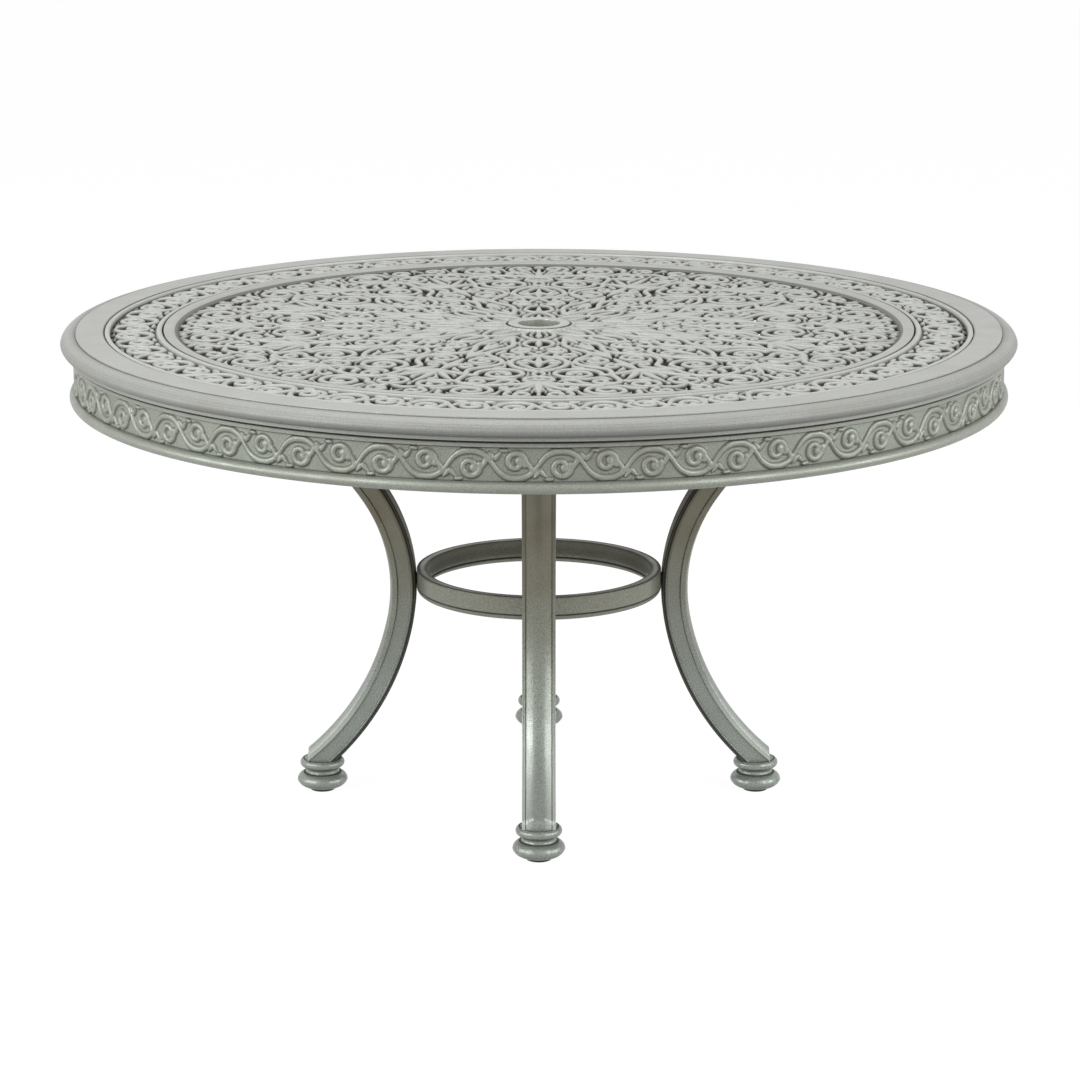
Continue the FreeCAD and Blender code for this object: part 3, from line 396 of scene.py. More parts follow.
def turnedStroke(stroke, angle):
    x, y, wide = stroke.T
    return np.column_stack([*turned(x, y, angle), wide])


def flipped(stroke, angle):  # mirror image about a line through the middle
    c, s = cos(2 * angle), sin(2 * angle)
    x, y, wide = stroke.T
    return np.column_stack([c * x + s * y, s * x - c * y, wide])


def newGrid(xs, ys):  # the places of a grid, and its depth and level
    size = len(ys), len(xs)
    return xs, ys, np.full(size, -drawing["far"]), np.zeros(size)


def stamp(grid, strokes, lift, step):
    xs, ys, depth, level = grid
    pitch = xs[1] - xs[0]
    for x, y, wide in np.concatenate([spaced(stroke, step) for stroke in strokes]):
        reach = wide + drawing["far"]
        i = max(int((x - reach - xs[0]) / pitch), 0), int((x + reach - xs[0]) / pitch) + 2
        j = max(int((y - reach - ys[0]) / pitch), 0), int((y + reach - ys[0]) / pitch) + 2
        window = np.s_[j[0]:max(j[1], 0), i[0]:max(i[1], 0)]
        if depth[window].size:
            away = np.hypot(xs[None, i[0]:i[1]] - x, ys[j[0]:j[1], None] - y)
            crown = lift - (away / (wide + drawing["shoulder"])) ** drawing["fall"]
            np.maximum(depth[window], wide - away, out=depth[window])
            np.maximum(level[window], crown, out=level[window])


def looked(grid, x, y):  # depth and level between the grid's points
    xs, ys, *fields = grid
    pitch = xs[1] - xs[0]
    u = np.clip((x - xs[0]) / pitch, 0, len(xs) - 1.001)
    v = np.clip((y - ys[0]) / pitch, 0, len(ys) - 1.001)
    i, j = u.astype(int), v.astype(int)
    u, v = u - i, v - j
    return [(field[j, i] * (1 - u) + field[j, i + 1] * u) * (1 - v)
            + (field[j + 1, i] * (1 - u) + field[j + 1, i + 1] * u) * v for field in fields]


def spread(mask):  # the mask and the grid points beside it
    wider = mask.copy()
    wider[1:] |= mask[:-1]
    wider[:-1] |= mask[1:]
    wider[:, 1:] |= mask[:, :-1]
    wider[:, :-1] |= mask[:, 1:]
    return wider


def joined(inside, seed):  # the part of a pattern that hangs together with the seed
    reached = seed & inside
    while True:
        wider = spread(reached) & inside
        if (wider == reached).all():
            return reached
        reached = wider


def tied(depth, seed):  # thin ties hold loose strokes to the casting; what stays loose goes
    for reach in drawing["tieReaches"]:
        held = joined(depth > 0, seed)
        near = (depth > 0) & ~held
        for step in range(reach):
            near, held = spread(near), spread(held)
        shallow = (depth <= 0) & (depth > -drawing["tieDepth"] - drawing["tieMore"] * reach)
        depth[near & held & shallow] = drawing["tie"]
    depth[(depth > 0) & ~joined(depth > 0, seed)] = drawing["cut"]
    depth[np.abs(depth) < drawing["least"]] = drawing["least"]


def piercedPlate(name, depth, level, across, heights, base, body, replaced):
    # a closed plate where depth is above zero; across holds each grid point's x and y, and
    # heights gives the top's height and how clear of painted shade it is, for a level and a place
    inside = depth > 0
    number = np.full(depth.shape, -1)
    number[inside] = np.arange(inside.sum())
    places, levels = [across[inside]], [level[inside]]
    total = int(inside.sum())
    cuts = []  # numbers of the points where the plate's edge cuts the grid
    for near, far in ((np.s_[:, :-1], np.s_[:, 1:]), (np.s_[:-1, :], np.s_[1:, :])):
        crossing = inside[near] != inside[far]
        one, other = depth[near][crossing], depth[far][crossing]
        share = np.clip(one / (one - other), drawing["least"], drawing["most"])[:, None]
        places.append(across[near][crossing] * (1 - share) + across[far][crossing] * share)
        levels.append(np.minimum(level[near][crossing], level[far][crossing]) * drawing["sideLevel"])
        index = np.full(crossing.shape, -1)
        index[crossing] = total + np.arange(len(share))
        total += len(share)
        cuts.append(index)
    lengthwise, upright = cuts
    # the corners and cuts round each cell, -1 where there is none
    ring = [number[:-1, :-1], lengthwise[:-1], number[:-1, 1:], upright[:, 1:],
            number[1:, 1:], lengthwise[1:], number[1:, :-1], upright[:, :-1]]
    kind = sum((corner >= 0).astype(int) << k for k, corner in enumerate(ring[::2]))
    tops = []
    for case in range(1, 16):  # each way in which a cell's four corners can lie inside
        cells = kind == case
        if cells.any():
            tops.append(np.stack([numbers[cells] for numbers in ring if numbers[cells][0] >= 0], -1))
    starts = np.concatenate([face.ravel() for face in tops])
    ends = np.concatenate([np.roll(face, -1, 1).ravel() for face in tops])
    alone = ~np.isin(starts * total + ends, ends * total + starts)  # sides that have one face only
    starts, ends = starts[alone], ends[alone]
    places, levels = np.concatenate(places), np.concatenate(levels)
    height, relief = heights(levels, places)
    points = np.concatenate([np.column_stack([places, up]) for up in (height, np.full(total, base))])
    walls = np.column_stack([ends, starts, starts + total, ends + total])
    faces = tops + [face[:, ::-1] + total for face in tops] + [walls]
    # the underside and the feet of the walls are painted in full shade (relief 0); the walls' top edges take
    # half the level
    meshPiece(name, points, faces, scrollCoat, body, replaced, 50, np.concatenate([relief, np.zeros(total)]))


# Pierced disc: half a sector of scrollwork, mirrored sixteen times round

disc = {
    "inner": 46.0, "outer": 520.0, "hubRing": 51.0, "edgeRing": 517.0,  # radii
    "top": 701.0, "base": 693.0, "crown": 4.4, "pitch": 2.14,
    # painted shade: a dark ring outside the hub's lip, and a dark band at the disc's edge (edgeClear)
    "lip": 703.4, "lipRadii": (46.2, 47.4, 50.5, 54), "lipPaintedShade": (51, 52.5),
    "edgeTop": 699.6, "edgeRadii": (515.5, 517.5), "edgeClear": 0.1,
    "swell": ((110, 200, 280), (1.0, 0.4, 0.0)),  # strokes are widened by this much at these radii
    "curlField": (108.0, 517.0), "curlSizes": (41, 30, 36, 26, 44, 32, 28, 38), "leastCurl": 15.0,
    "curlGap": 6.0, "curlWidth": (3.0, 0.06, 5.2), "curlTurns": (0.7, 1.6), "curlLevel": 0.94,
    "gap": 3.8, "leastLeaf": 6.2, "leafSteps": 17, "margins": (6, 7), "grid": 1.0, "step": 1.6,
}
halfSector = pi / 8


def polar(radius, degrees):
    return radius * cos(radians(degrees)), radius * sin(radians(degrees))


motifs = {
    # strokes along the sector's axis: their points, and their half widths from start to end
    "axis": (
        (((48, 0), (70, 0), (93, 0)), (1.8, 5.6, 1.6)),  # hub petals
        ((polar(49, 19), polar(80, 23), polar(98, 9), (112, 0)), (3.2, 4.2, 3.6)),
        (((112, 0), (132, 0), (156, 0)), (3.6, 5.2, 2.2)),  # lotus
        (((112, 0), (112, 22), (140, 26), (162, 12)), (3.4, 4.2, 2.4)),
        (((162, 12), (166, 2), (176, 4)), (2.4, 3.6, 4.0)),  # to the curls
        (((208, 12), (220, 2), (232, 0)), (3.6, 4.2, 4.6)),
        (((230, 0), (240, 50), (304, 54), (340, 0)), (4.6, 5.0, 4.6)),  # ogee and its bud
        (((238, 0), (270, 0), (310, 0)), (2.2, 8.2, 1.8)),
        (((340, 0), (356, 14), (366, 5), (376, 0)), (3.8, 3.4, 3.6)),
        (((376, 0), (380, 26), (404, 24), (414, 6)), (3.8, 4.0, 3.8)),  # vase
    ),
    "facingCurl": ((190, 23), 21, radians(215), -1, 1.25, 4.2),
    # lobes, on the axis and then between two axes: root, way in degrees, length and half width
    "fan": ((412, 0, 84, 6.4), (412, 30, 74, 6.0), (412, 60, 56, 5.4)),
    "lobes": ((352, 0, 100, 6.2), (352, -32, 78, 6.0), (352, -64, 56, 5.4), (250, -159, 54, 5.6),
              (196, -162, 38, 4.6)),
    # petals between two axes: start, end and half width
    "petals": ((100, 142, 6.5), (150, 196, 7.5), (204, 262, 9.0), (270, 354, 10.0)),
    # long stems, as radius and degrees
    "stems": (
        ((102, 21), (120, 19), (135, 13.5), (160, 13.8)),
        ((160, 13.8), (185, 14.1), (198, 20.5), (222, 18.5)),
        ((222, 18.5), (246, 16.5), (250, 10), (285, 10.5)),
        ((285, 10.5), (320, 11), (322, 18), (356, 16)),
        ((356, 16), (400, 13.5), (436, 19.5), (452, 12), (446, 5.5), (414, 5.0)),
    ),
    "petalWidths": (1.8, 1.6), "stemWidths": (4.6, 4.9, 4.6), "lobeBend": 0.35, "lobeTip": 4.0,
}


def bulbous(start, degrees, length, wide):  # a lobe with a round tip
    angle = radians(degrees)
    lobe = leaf((start, 0), angle, length, wide, motifs["lobeBend"] * sin(angle))
    tip = lobe[-1:].copy()
    tip[:, 2] = motifs["lobeTip"]
    return [lobe, tip]


def sectorMotifs():
    strokes = [curve(points, widths) for points, widths in motifs["axis"]]
    strokes += curl(*motifs["facingCurl"])
    for lobe in motifs["fan"]:
        strokes += bulbous(*lobe)
    first, last = motifs["petalWidths"]
    between = [curve([(start, 0), ((start + end) / 2, 0), (end, 0)], (first, wide, last))
               for start, end, wide in motifs["petals"]]
    for lobe in motifs["lobes"]:
        between += bulbous(*lobe)
    strokes += [turnedStroke(stroke, halfSector) for stroke in between]
    return strokes + [curve([polar(*place) for place in places], motifs["stemWidths"])
                      for places in motifs["stems"]]


def packedCurls(strokes):  # circles for the curls, each as large as the ground still open allows
    inner, outer = disc["curlField"]
    gx, gy = np.meshgrid(np.arange(inner, outer, 2.0), np.arange(0, outer * sin(halfSector), 2.0))
    radius, angle = np.hypot(gx, gy), np.arctan2(gy, gx)
    keep = (radius > inner) & (radius < outer) & (angle < halfSector)
    gx, gy, radius, angle = gx[keep], gy[keep], radius[keep], angle[keep]
    clear = np.minimum.reduce([gy, radius * np.sin(halfSector - angle), radius - inner, outer - radius])
    for stroke in strokes:
        for x, y, wide in spaced(stroke, 4.0):
            clear = np.minimum(clear, np.hypot(gx - x, gy - y) - wide * 0.2)
    circles = []
    while True:
        most = disc["curlSizes"][len(circles) % len(disc["curlSizes"])]
        best = int(np.argmax(np.minimum(clear, most) - 0.004 * radius))  # of equal ones, the innermost
        size = float(min(clear[best], most))
        if size < disc["leastCurl"]:
            return circles
        x, y = float(gx[best]), float(gy[best])
        circles.append((x, y, size))
        clear = np.minimum(clear, np.hypot(gx - x, gy - y) - size)


def sectorCopies(strokes):
    return strokes + [flipped(s, 0.0) for s in strokes] + [flipped(s, halfSector) for s in strokes]


def grownCurls(grid, circles):
    # each curl starts where it comes nearest to what is drawn already, and a stalk ties it on there
    around = np.linspace(0, 2 * pi, 72, endpoint=False)
    thin, swelling, thick = disc["curlWidth"]
    fewest, most = disc["curlTurns"]
    hand = 1
    for x, y, size in circles:
        wide = min(thick, thin + size * swelling)
        turns = min(most, max(fewest, (size - wide * 1.5) / (2 * wide + disc["curlGap"])))
        near = looked(grid, x + size * np.cos(around), y + size * np.sin(around))[0]
        start = float(around[np.argmax(near)])
        reach = size + max(-float(near.max()), 0) + 2.0
        tie = [(x + r * cos(start), y + r * sin(start)) for r in (size - wide, reach)]
        arms = curl((x, y), size, start, hand, turns, wide) + [curve(tie, (wide, wide * 0.7), 8)]
        stamp(grid, sectorCopies(arms), disc["curlLevel"], disc["step"])
        hand = -hand


growth = {
    # a leaf looks ahead and to its sides, likes to go straight on, and ends where room runs short
    "sight": 4, "sideways": np.linspace(-0.6, 0.6, 7), "straight": 0.5, "stride": 2.2, "endRoom": 0.9,
    "startSight": 6, "startWays": 12, "startWidth": 6.0, "widths": (1.3, 5.6), "level": 0.86, "step": 2.0,
    "stalk": (14, 1.5, 2.0, 0.8),  # most strides, their length, half width, how deep it bites
    "smoothings": 3,
}


def filledGround(grid, ground, copies, settings):
    # leaves along the middle of whatever ground is left open, each as wide as its place allows
    xs, ys, depth, level = grid
    pitch = xs[1] - xs[0]
    gap, sight, stride = settings["gap"], growth["sight"], growth["stride"]

    def spot(x, y):
        i = min(max(int(round((x - xs[0]) / pitch)), 0), len(xs) - 1)
        j = min(max(int(round((y - ys[0]) / pitch)), 0), len(ys) - 1)
        return j, i

    def ahead(x, y, way, far):
        return depth[spot(x + far * cos(way), y + far * sin(way))]

    def run(x, y, way):
        path = []
        for step in range(settings["leafSteps"]):
            way += min((ahead(x, y, way + d, sight) + growth["straight"] * abs(d), d)
                       for d in growth["sideways"])[1]
            x, y = x + stride * cos(way), y + stride * sin(way)
            room = -float(depth[spot(x, y)])
            if room < gap + growth["endRoom"] or not ground[spot(x, y)]:
                break
            path.append((x, y, room - gap))
        return path, (x, y, way)

    starts = ground.copy()
    while True:
        left = np.where(starts, -depth, -9.0)
        j, i = np.unravel_index(int(np.argmax(left)), left.shape)
        room = float(left[j, i])
        if room < settings["leastLeaf"]:
            return
        starts[max(j - 1, 0):j + 2, max(i - 1, 0):i + 2] = False
        x, y = float(xs[i]), float(ys[j])
        ways = np.linspace(0, pi, growth["startWays"], endpoint=False)
        far = growth["startSight"]
        way = min((ahead(x, y, a, far) + ahead(x, y, a, -far), a) for a in ways)[1]
        forward = run(x, y, way)[0]
        behind, (rx, ry, rootWay) = run(x, y, way + pi)
        stalk = []
        strides, length, wide, bite = growth["stalk"]
        for step in range(strides):  # on from the root until it meets a stroke
            rx, ry = rx + length * cos(rootWay), ry + length * sin(rootWay)
            stalk.append((rx, ry, wide))
            if depth[spot(rx, ry)] > bite:
                break
        heart = (x, y, min(room - gap, growth["startWidth"]))
        path = np.array(stalk[::-1] + behind[::-1] + [heart] + forward)
        path[:, 2] = np.clip(path[:, 2], *growth["widths"])
        for k in range(growth["smoothings"]):
            path[1:-1] = (path[:-2] + path[1:-1] * 2 + path[2:]) / 4
        stamp(grid, copies([path]), growth["level"], growth["step"])


def discGrid():
    xs = np.arange(disc["inner"] - 6, disc["outer"] + 8, disc["grid"])
    ys = np.arange(-8.0, disc["outer"] * sin(halfSector) + 8, disc["grid"])
    strokes = sectorMotifs()
    grid = newGrid(xs, ys)
    stamp(grid, sectorCopies(strokes), 1.0, disc["step"])
    grownCurls(grid, packedCurls(strokes))
    gx, gy = np.meshgrid(xs, ys)
    radius, angle = np.hypot(gx, gy), np.arctan2(gy, gx)
    ground = (radius > disc["inner"] + disc["margins"][0]) & (radius < disc["outer"] - disc["margins"][1])
    ground &= (gy > 1.0) & (angle < halfSector - 1.0 / radius)
    filledGround(grid, ground, sectorCopies, disc)
    return grid


def makeDisc():
    steps = np.arange(0, disc["outer"] + disc["pitch"] * 1.5, disc["pitch"])
    x, y = np.meshgrid(steps, steps)
    radius, angle = np.hypot(x, y), np.arctan2(y, x)
    angle = np.abs((angle + halfSector) % (2 * halfSector) - halfSector)
    depth, level = looked(discGrid(), radius * np.cos(angle), radius * np.sin(angle))
    depth += np.interp(radius, *disc["swell"])
    depth = np.maximum.reduce([depth, disc["hubRing"] - radius, radius - disc["edgeRing"]])
    depth = np.minimum.reduce([depth, radius - disc["inner"], disc["outer"] - radius])
    tied(depth, (radius > disc["edgeRing"]) | (radius < disc["hubRing"]))

    def heights(levels, places):
        reach = np.hypot(places[:, 0], places[:, 1])
        lip = np.interp(reach, disc["lipRadii"], (disc["base"], disc["lip"], disc["lip"], disc["base"]))
        height = np.maximum(disc["top"] - disc["crown"] * (1 - levels), lip)
        # painted shade round the hub's lip and along the disc's edge
        clear = np.maximum(levels, np.interp(reach, disc["lipPaintedShade"], (1, 0)))
        clear = np.where(reach < disc["lipRadii"][1], 0.0, clear)
        edge = np.interp(reach, disc["edgeRadii"], (0, 1))
        height = height * (1 - edge) + disc["edgeTop"] * edge
        return height, clear * (1 - edge) + disc["edgeClear"] * edge

    for k in range(4):
        across = np.stack(turned(x, y, k * pi / 2), -1)
        piercedPlate(f"discScrollwork_{k + 1}", depth, level, across, heights, disc["base"],
                     "turntable", ["scroll_disc"])


makeDisc()
print("pierced disc made")


# Running scroll of the band and the apron: a stem waves up and down and throws a curl into each bay

def scrollBay(length, height, look):  # places are shares of the bay's length and height
    wide, size = look["wide"], look["curl"]
    middle = (length * 0.5, height * 0.42)
    arch = ((0, 0.5), (0.15, 0.80), (0.26, 1.06), (0.74, 1.06), (0.85, 0.80), (1, 0.5))
    strokes = [
        curve([(length * x, height * y) for x, y in arch], (wide * 0.8, wide * look["full"], wide * 0.8)),
        curve([(length * 0.84, height * 0.80), (length * 0.88, height * 0.62),
               (middle[0] + size * 0.84, middle[1] + size * 0.02)], (wide * 0.95, wide * 0.9)),
    ]
    strokes += curl(middle, size, 0.3, -1, look["turns"], wide * look["arm"],
                    look["heart"], look["bud"], look["tight"])
    for x, y, degrees, reach, share, bend in look["leaves"]:
        root = (length * x, height * y)
        strokes.append(leaf(root, radians(degrees), height * reach, wide * share, bend))
    return strokes


def scrollStrip(length, height, look):
    def copies(strokes):  # one period is two bays long, the second bay upside down
        both = strokes + [s * [1, -1, 1] + [length, height, 0] for s in strokes]
        return [s + [shift, 0, 0] for shift in (-2 * length, 0, 2 * length) for s in both]

    pitch = 0.5
    xs = np.arange(-2 * pitch, 2 * length + 3 * pitch, pitch)
    ys = np.arange(-2 * pitch, height + 3 * pitch, pitch)
    grid = newGrid(xs, ys)
    stamp(grid, copies(scrollBay(length, height, look)), 1.0, 0.8)
    if look["filled"]:
        gx, gy = np.meshgrid(xs, ys)
        ground = (gx > 0) & (gx < length) & (gy > 3) & (gy < height - 3)
        filledGround(grid, ground, copies, look)
    return grid


def aroundQuarter(look, bay):  # places along a quarter of the strip that goes round the table
    periods = look["periods"] // 4
    return np.linspace(0, periods * 2 * bay, periods * look["across"] + 1)


band = {
    "inner": 541.5, "outer": 622.5, "fieldInner": 551.5, "fieldOuter": 615.0,  # radii
    "gridRadii": (545.0, 620.5), "overlaps": (1.0, 0.5),
    "base": 695.0, "fieldTop": 702.4, "crown": 4.4, "swell": -0.3, "periods": 32, "across": 58, "rows": 42,
    # by radius: height of the plain edges, how clear of painted shade they are, and where the scrollwork
    # lies
    "edges": ((541.5, 542.4, 547.0, 550.0, 552.5, 614.2, 615.8, 621.6, 622.5),
              (703.2, 704.0, 704.0, 702.0, 690.0, 690.0, 704.0, 704.0, 703.2)),
    "edgesClear": ((541.5, 542.6, 547, 551, 611.5, 615.2, 616.4), (0.4, 1, 1, 0.1, 0.1, 0.0, 1)),
    "field": ((551, 553, 608.5, 611.5), (0, 1, 1, 0)),
    "wide": 5.0, "full": 1.2, "arm": 0.95, "curl": 22.5, "turns": 1.3,
    "bud": 0.22, "heart": 0.30, "tight": 1.6, "filled": True, "gap": 4.0, "leastLeaf": 5.8, "leafSteps": 12,
    # leaves: start as shares of the bay, way in degrees, length, width and bend
    "leaves": [(0.06, 0.42, -75, 0.34, 0.9, 0.8), (0.30, 0.08, 200, 0.30, 0.8, -0.8),
               (0.72, 0.08, -20, 0.26, 0.8, 0.9)],
}


def makeBand():
    middle = (band["fieldInner"] + band["fieldOuter"]) / 2
    bay = pi * middle / band["periods"]
    height = band["fieldOuter"] - band["fieldInner"]
    radii = np.linspace(*band["gridRadii"], band["rows"] - 2)
    u, r = np.meshgrid(aroundQuarter(band, bay), np.concatenate([[band["inner"]], radii, [band["outer"]]]))
    depth, level = looked(scrollStrip(bay, height, band), u % (2 * bay), r - band["fieldInner"])
    first, last = band["overlaps"]
    edges = band["fieldInner"] + first - r, r - band["fieldOuter"] + last
    depth = np.maximum.reduce([depth + band["swell"], *edges])
    tied(depth, (r > band["fieldOuter"]) | (r < band["fieldInner"]))

    def heights(levels, places):
        radius = np.hypot(places[:, 0], places[:, 1])
        field = levels * np.interp(radius, *band["field"])
        plain = np.interp(radius, *band["edges"])
        height = np.maximum(band["fieldTop"] - band["crown"] * (1 - field), plain)
        return height, np.maximum(field, np.interp(radius, *band["edgesClear"]))

    for k in range(4):
        angle = u / middle + k * pi / 2
        across = np.stack([r * np.cos(angle), r * np.sin(angle)], -1)
        piercedPlate(f"bandScrollwork_{k + 1}", depth, level, across, heights, band["base"],
                     "base", ["scroll_band"])


makeBand()
print("pierced band made")


# Rim, with its flat top, small step, bullnose and lip; the inner rim on the disc; the umbrella sleeve

rim = {
    "corners": [
        (624.5, 704, 0.8), (663.8, 704, 0.6), (664.1, 701.2, 0.3), ("arc", 16.0, 1), (686, 689.3),
        ("arc", 10.0, 1), (676, 681, 0.5), (676, 675, 1.0), (670, 675, 0.5), (670, 698, 1.5),
        (630.5, 698, 1.5), (630.5, 678, 0.5), (618.5, 678, 0.5), (618.5, 689, 1.0), (606, 689, 0.5),
        (606, 695, 0.5), (624.5, 695, 0.5),
    ],
    "paintedShadeSpots": [
        # painted shade in the crease behind the nose, at the inner corner, and under the nose and lip
        (664.1, 701.6, 2.2), (625, 703), (676, 681, 1.8), (676, 678, 3, 0.55), (670, 675),
        (676, 675, 1.5, 0.2),
        # painted shade along the bullnose, from its crease to its underside
        (667.5, 702.2, 6, 0.6), (672, 702.3, 6, 0.7), (676, 701.4, 6, 0.76), (679.5, 699.5, 6, 0.7),
        (682.5, 696.8, 6, 0.56), (684.6, 693.6, 6, 0.5), (685.9, 690, 6, 0.46), (685.5, 687.3, 6, 0.5),
        (683.8, 684.6, 6, 0.48), (681, 682.4, 4, 0.44),
    ],
}
turnedPiece("bullnoseRim", rim, rimCoat, "base", ["rim_casting"])

discRim = {
    "corners": [
        (512, 690, 0.5), (539, 690, 0.5), (539, 704, 0.8), (526.8, 704, 1.2), (520.6, 700.6, 0.8),
        (519.8, 699.4), (519.8, 693), (512, 693, 0.5),
    ],
    # painted shade at the foot of the inner slope and along the outer edge
    "paintedShadeSpots": [(520.6, 700.6), (522.5, 701.6), (539, 702)],
}
turnedPiece("discRim", discRim, rimCoat, "turntable", ["turntable_rim"])

sleeve = {
    "corners": [
        (30.3, 588, 0.4), (36, 588, 0.4), (36, 674), (42, 674, 0.4), (42, 679, 0.4), (38, 679, 0.5),
        (38, 698, 1.0), (45.2, 698, 0.4), (45.2, 704, 1.5), (30.3, 704, 1.0),
    ],
    # painted shade as a dark outline round the flange's edge
    "paintedShadeSpots": [(45.2, 703), (45.2, 701)], "steps": 96,
}
turnedPiece("umbrellaSleeve", sleeve, tubePaintedBrightCoat, "base", ["umbrella_tube"])
print("rim, disc rim and sleeve made")


# Apron: mouldings turned in one, and four relief panels with the running scroll

apron = {
    "corners": [
        (659, 605.5, 0.6), (664.6, 605.5, 0.6), ("arc", 8.0, -1), (675, 613), ("arc", 8.0, -1),
        (664.6, 620.5, 0.5), (664.6, 665.1, 0.6), (671, 666.5, 0.8), (671, 672, 1.0), (664, 672, 0.5),
        (664, 698, 0.5), (637, 698, 0.5), (637, 693, 0.5), (659, 693, 1.0),
    ],
    # painted shade in the corners above and below the panel and under the rim's lip
    "paintedShadeSpots": [(664.6, 620.5), (664.6, 665.1), (671, 669, 3, 0.66), (671, 672, 2.2, 0.1), (664, 672)],
    "face": 665.0, "low": 620.9, "high": 664.9, "back": 662.0, "relief": 3.4, "margin": 1.6,
    "periods": 36, "across": 92, "rows": 40,
    "wide": 3.7, "full": 1.35, "arm": 1.12, "curl": 16.6, "turns": 1.1,
    "bud": 0.37, "heart": 0.36, "tight": 1.7, "filled": False,
    "leaves": [(0.04, 0.34, -64, 0.30, 0.9, 0.5), (0.00, 0.30, -112, 0.26, 0.8, -0.5),
               (0.30, 0.06, 200, 0.24, 0.75, -0.6)],
    # how far from a stroke's foot the painted shade starts, over what it thins, how clear it leaves each
    # place
    "paintedShadeStart": 0.2, "paintedShadeWidth": 1.3, "groundClear": 0.66, "footClear": 0.04, "edgeClear": 0.1,
    "strokeGain": 1.1, "edgeGain": 1.5,
}


def makeApron():
    turnedPiece("apronMoulding", apron, apronCoat, "base", ["apron_ring"])
    height = apron["high"] - apron["low"] - 2 * apron["margin"]
    bay = pi * apron["face"] / apron["periods"]
    up = np.linspace(apron["low"], apron["high"], apron["rows"])
    u, z = np.meshgrid(aroundQuarter(apron, bay), up, indexing="ij")
    grid = scrollStrip(bay, height, apron)
    depth, level = looked(grid, u % (2 * bay), z - apron["low"] - apron["margin"])
    edge = np.clip(np.minimum(z - apron["low"], apron["high"] - z) / apron["margin"], 0, 1)
    proud = apron["relief"] * np.minimum(level, edge)
    # painted shade lies along the strokes' feet and along the panel's edges, thinner on the open ground
    ground = np.clip((-depth - apron["paintedShadeStart"]) / apron["paintedShadeWidth"], 0, 1)
    ground = ground * apron["groundClear"] + apron["footClear"]
    clear = np.maximum(level * apron["strokeGain"], ground)
    clear = clear * np.clip(edge * apron["edgeGain"], apron["edgeClear"], 1)
    size = (len(u), 2)
    for k in range(4):
        angle = np.concatenate([u, u[:, :2]], 1) / apron["face"] + k * pi / 2
        radius = np.concatenate([apron["face"] + proud, np.full(size, apron["back"])], 1)
        levels = np.concatenate([z, np.tile((apron["high"], apron["low"]), (len(u), 1))], 1)
        rows = np.stack([radius * np.cos(angle), radius * np.sin(angle), levels], -1)
        relief = np.concatenate([clear, np.zeros(size)], 1).ravel()
        meshPiece(f"apronRelief_{k + 1}", rows.reshape(-1, 3), skinned(rows, False), apronCoat,
                  "base", ["apron_ring"], 60, relief)


makeApron()
print("apron made")


# Legs: one section, swept along three tangent arcs

leg = {
    "waist": 198.7, "waistHeight": 311.3, "bends": (375.3, 253.3, 600.0), "turns": (11.2, 35.0),
    "counts": (46, 36, 34), "foot": 48.5, "top": 596.0, "toe": 342.0, "toeHeight": 19.6,
    # half the section, towards the table's axis and across, from the outer face to the inner one
    "section": [
        (-19.9, 0), (-19.65, 4), (-18.95, 8), (-17.75, 12), (-15.9, 17.0, 0.8), (-14.6, 18.4, 0.4),
        (-15.9, 19.9, 0.4), (-16.3, 23.75, 1.4), (-8.2, 23.75, 1.0), (-7.6, 20.8, 0.6), (10.6, 20.8, 0.6),
        (11.2, 23.75, 1.4), (15.6, 23.75, 1.4), (18.9, 21.6, 1.4), (18.9, 0),
    ],
    # painted shade in the grooves, on the inner flange and down the inner face
    "paintedShadeSpots": [(-14.8, 18.6, 1.3, 0.2), (-8.2, 22.0), (11.2, 22.0), (15.2, 23.75, 4.0, 0.0),
               (18.9, 21.0, 7.0, 0.0), (18.9, 8, 14, 0.2)],
    # between these heights the painted shade thins out on the outer face, and the raised face gets painted
    # highlights, most at its edges
    "paintedShadeThinning": ((300, 390), (0, 0.85)), "paintedShadeThinningFrom": -14,
    "paintedHighlight": ((95, 185), (1, 0)), "paintedHighlightAcross": ((0, 8, 13, 16), (0.12, 0.2, 0.9, 1.0)), "paintedHighlightFrom": -8,
}


def mirrored(places):
    return [(across, -up, *more) for across, up, *more in places]


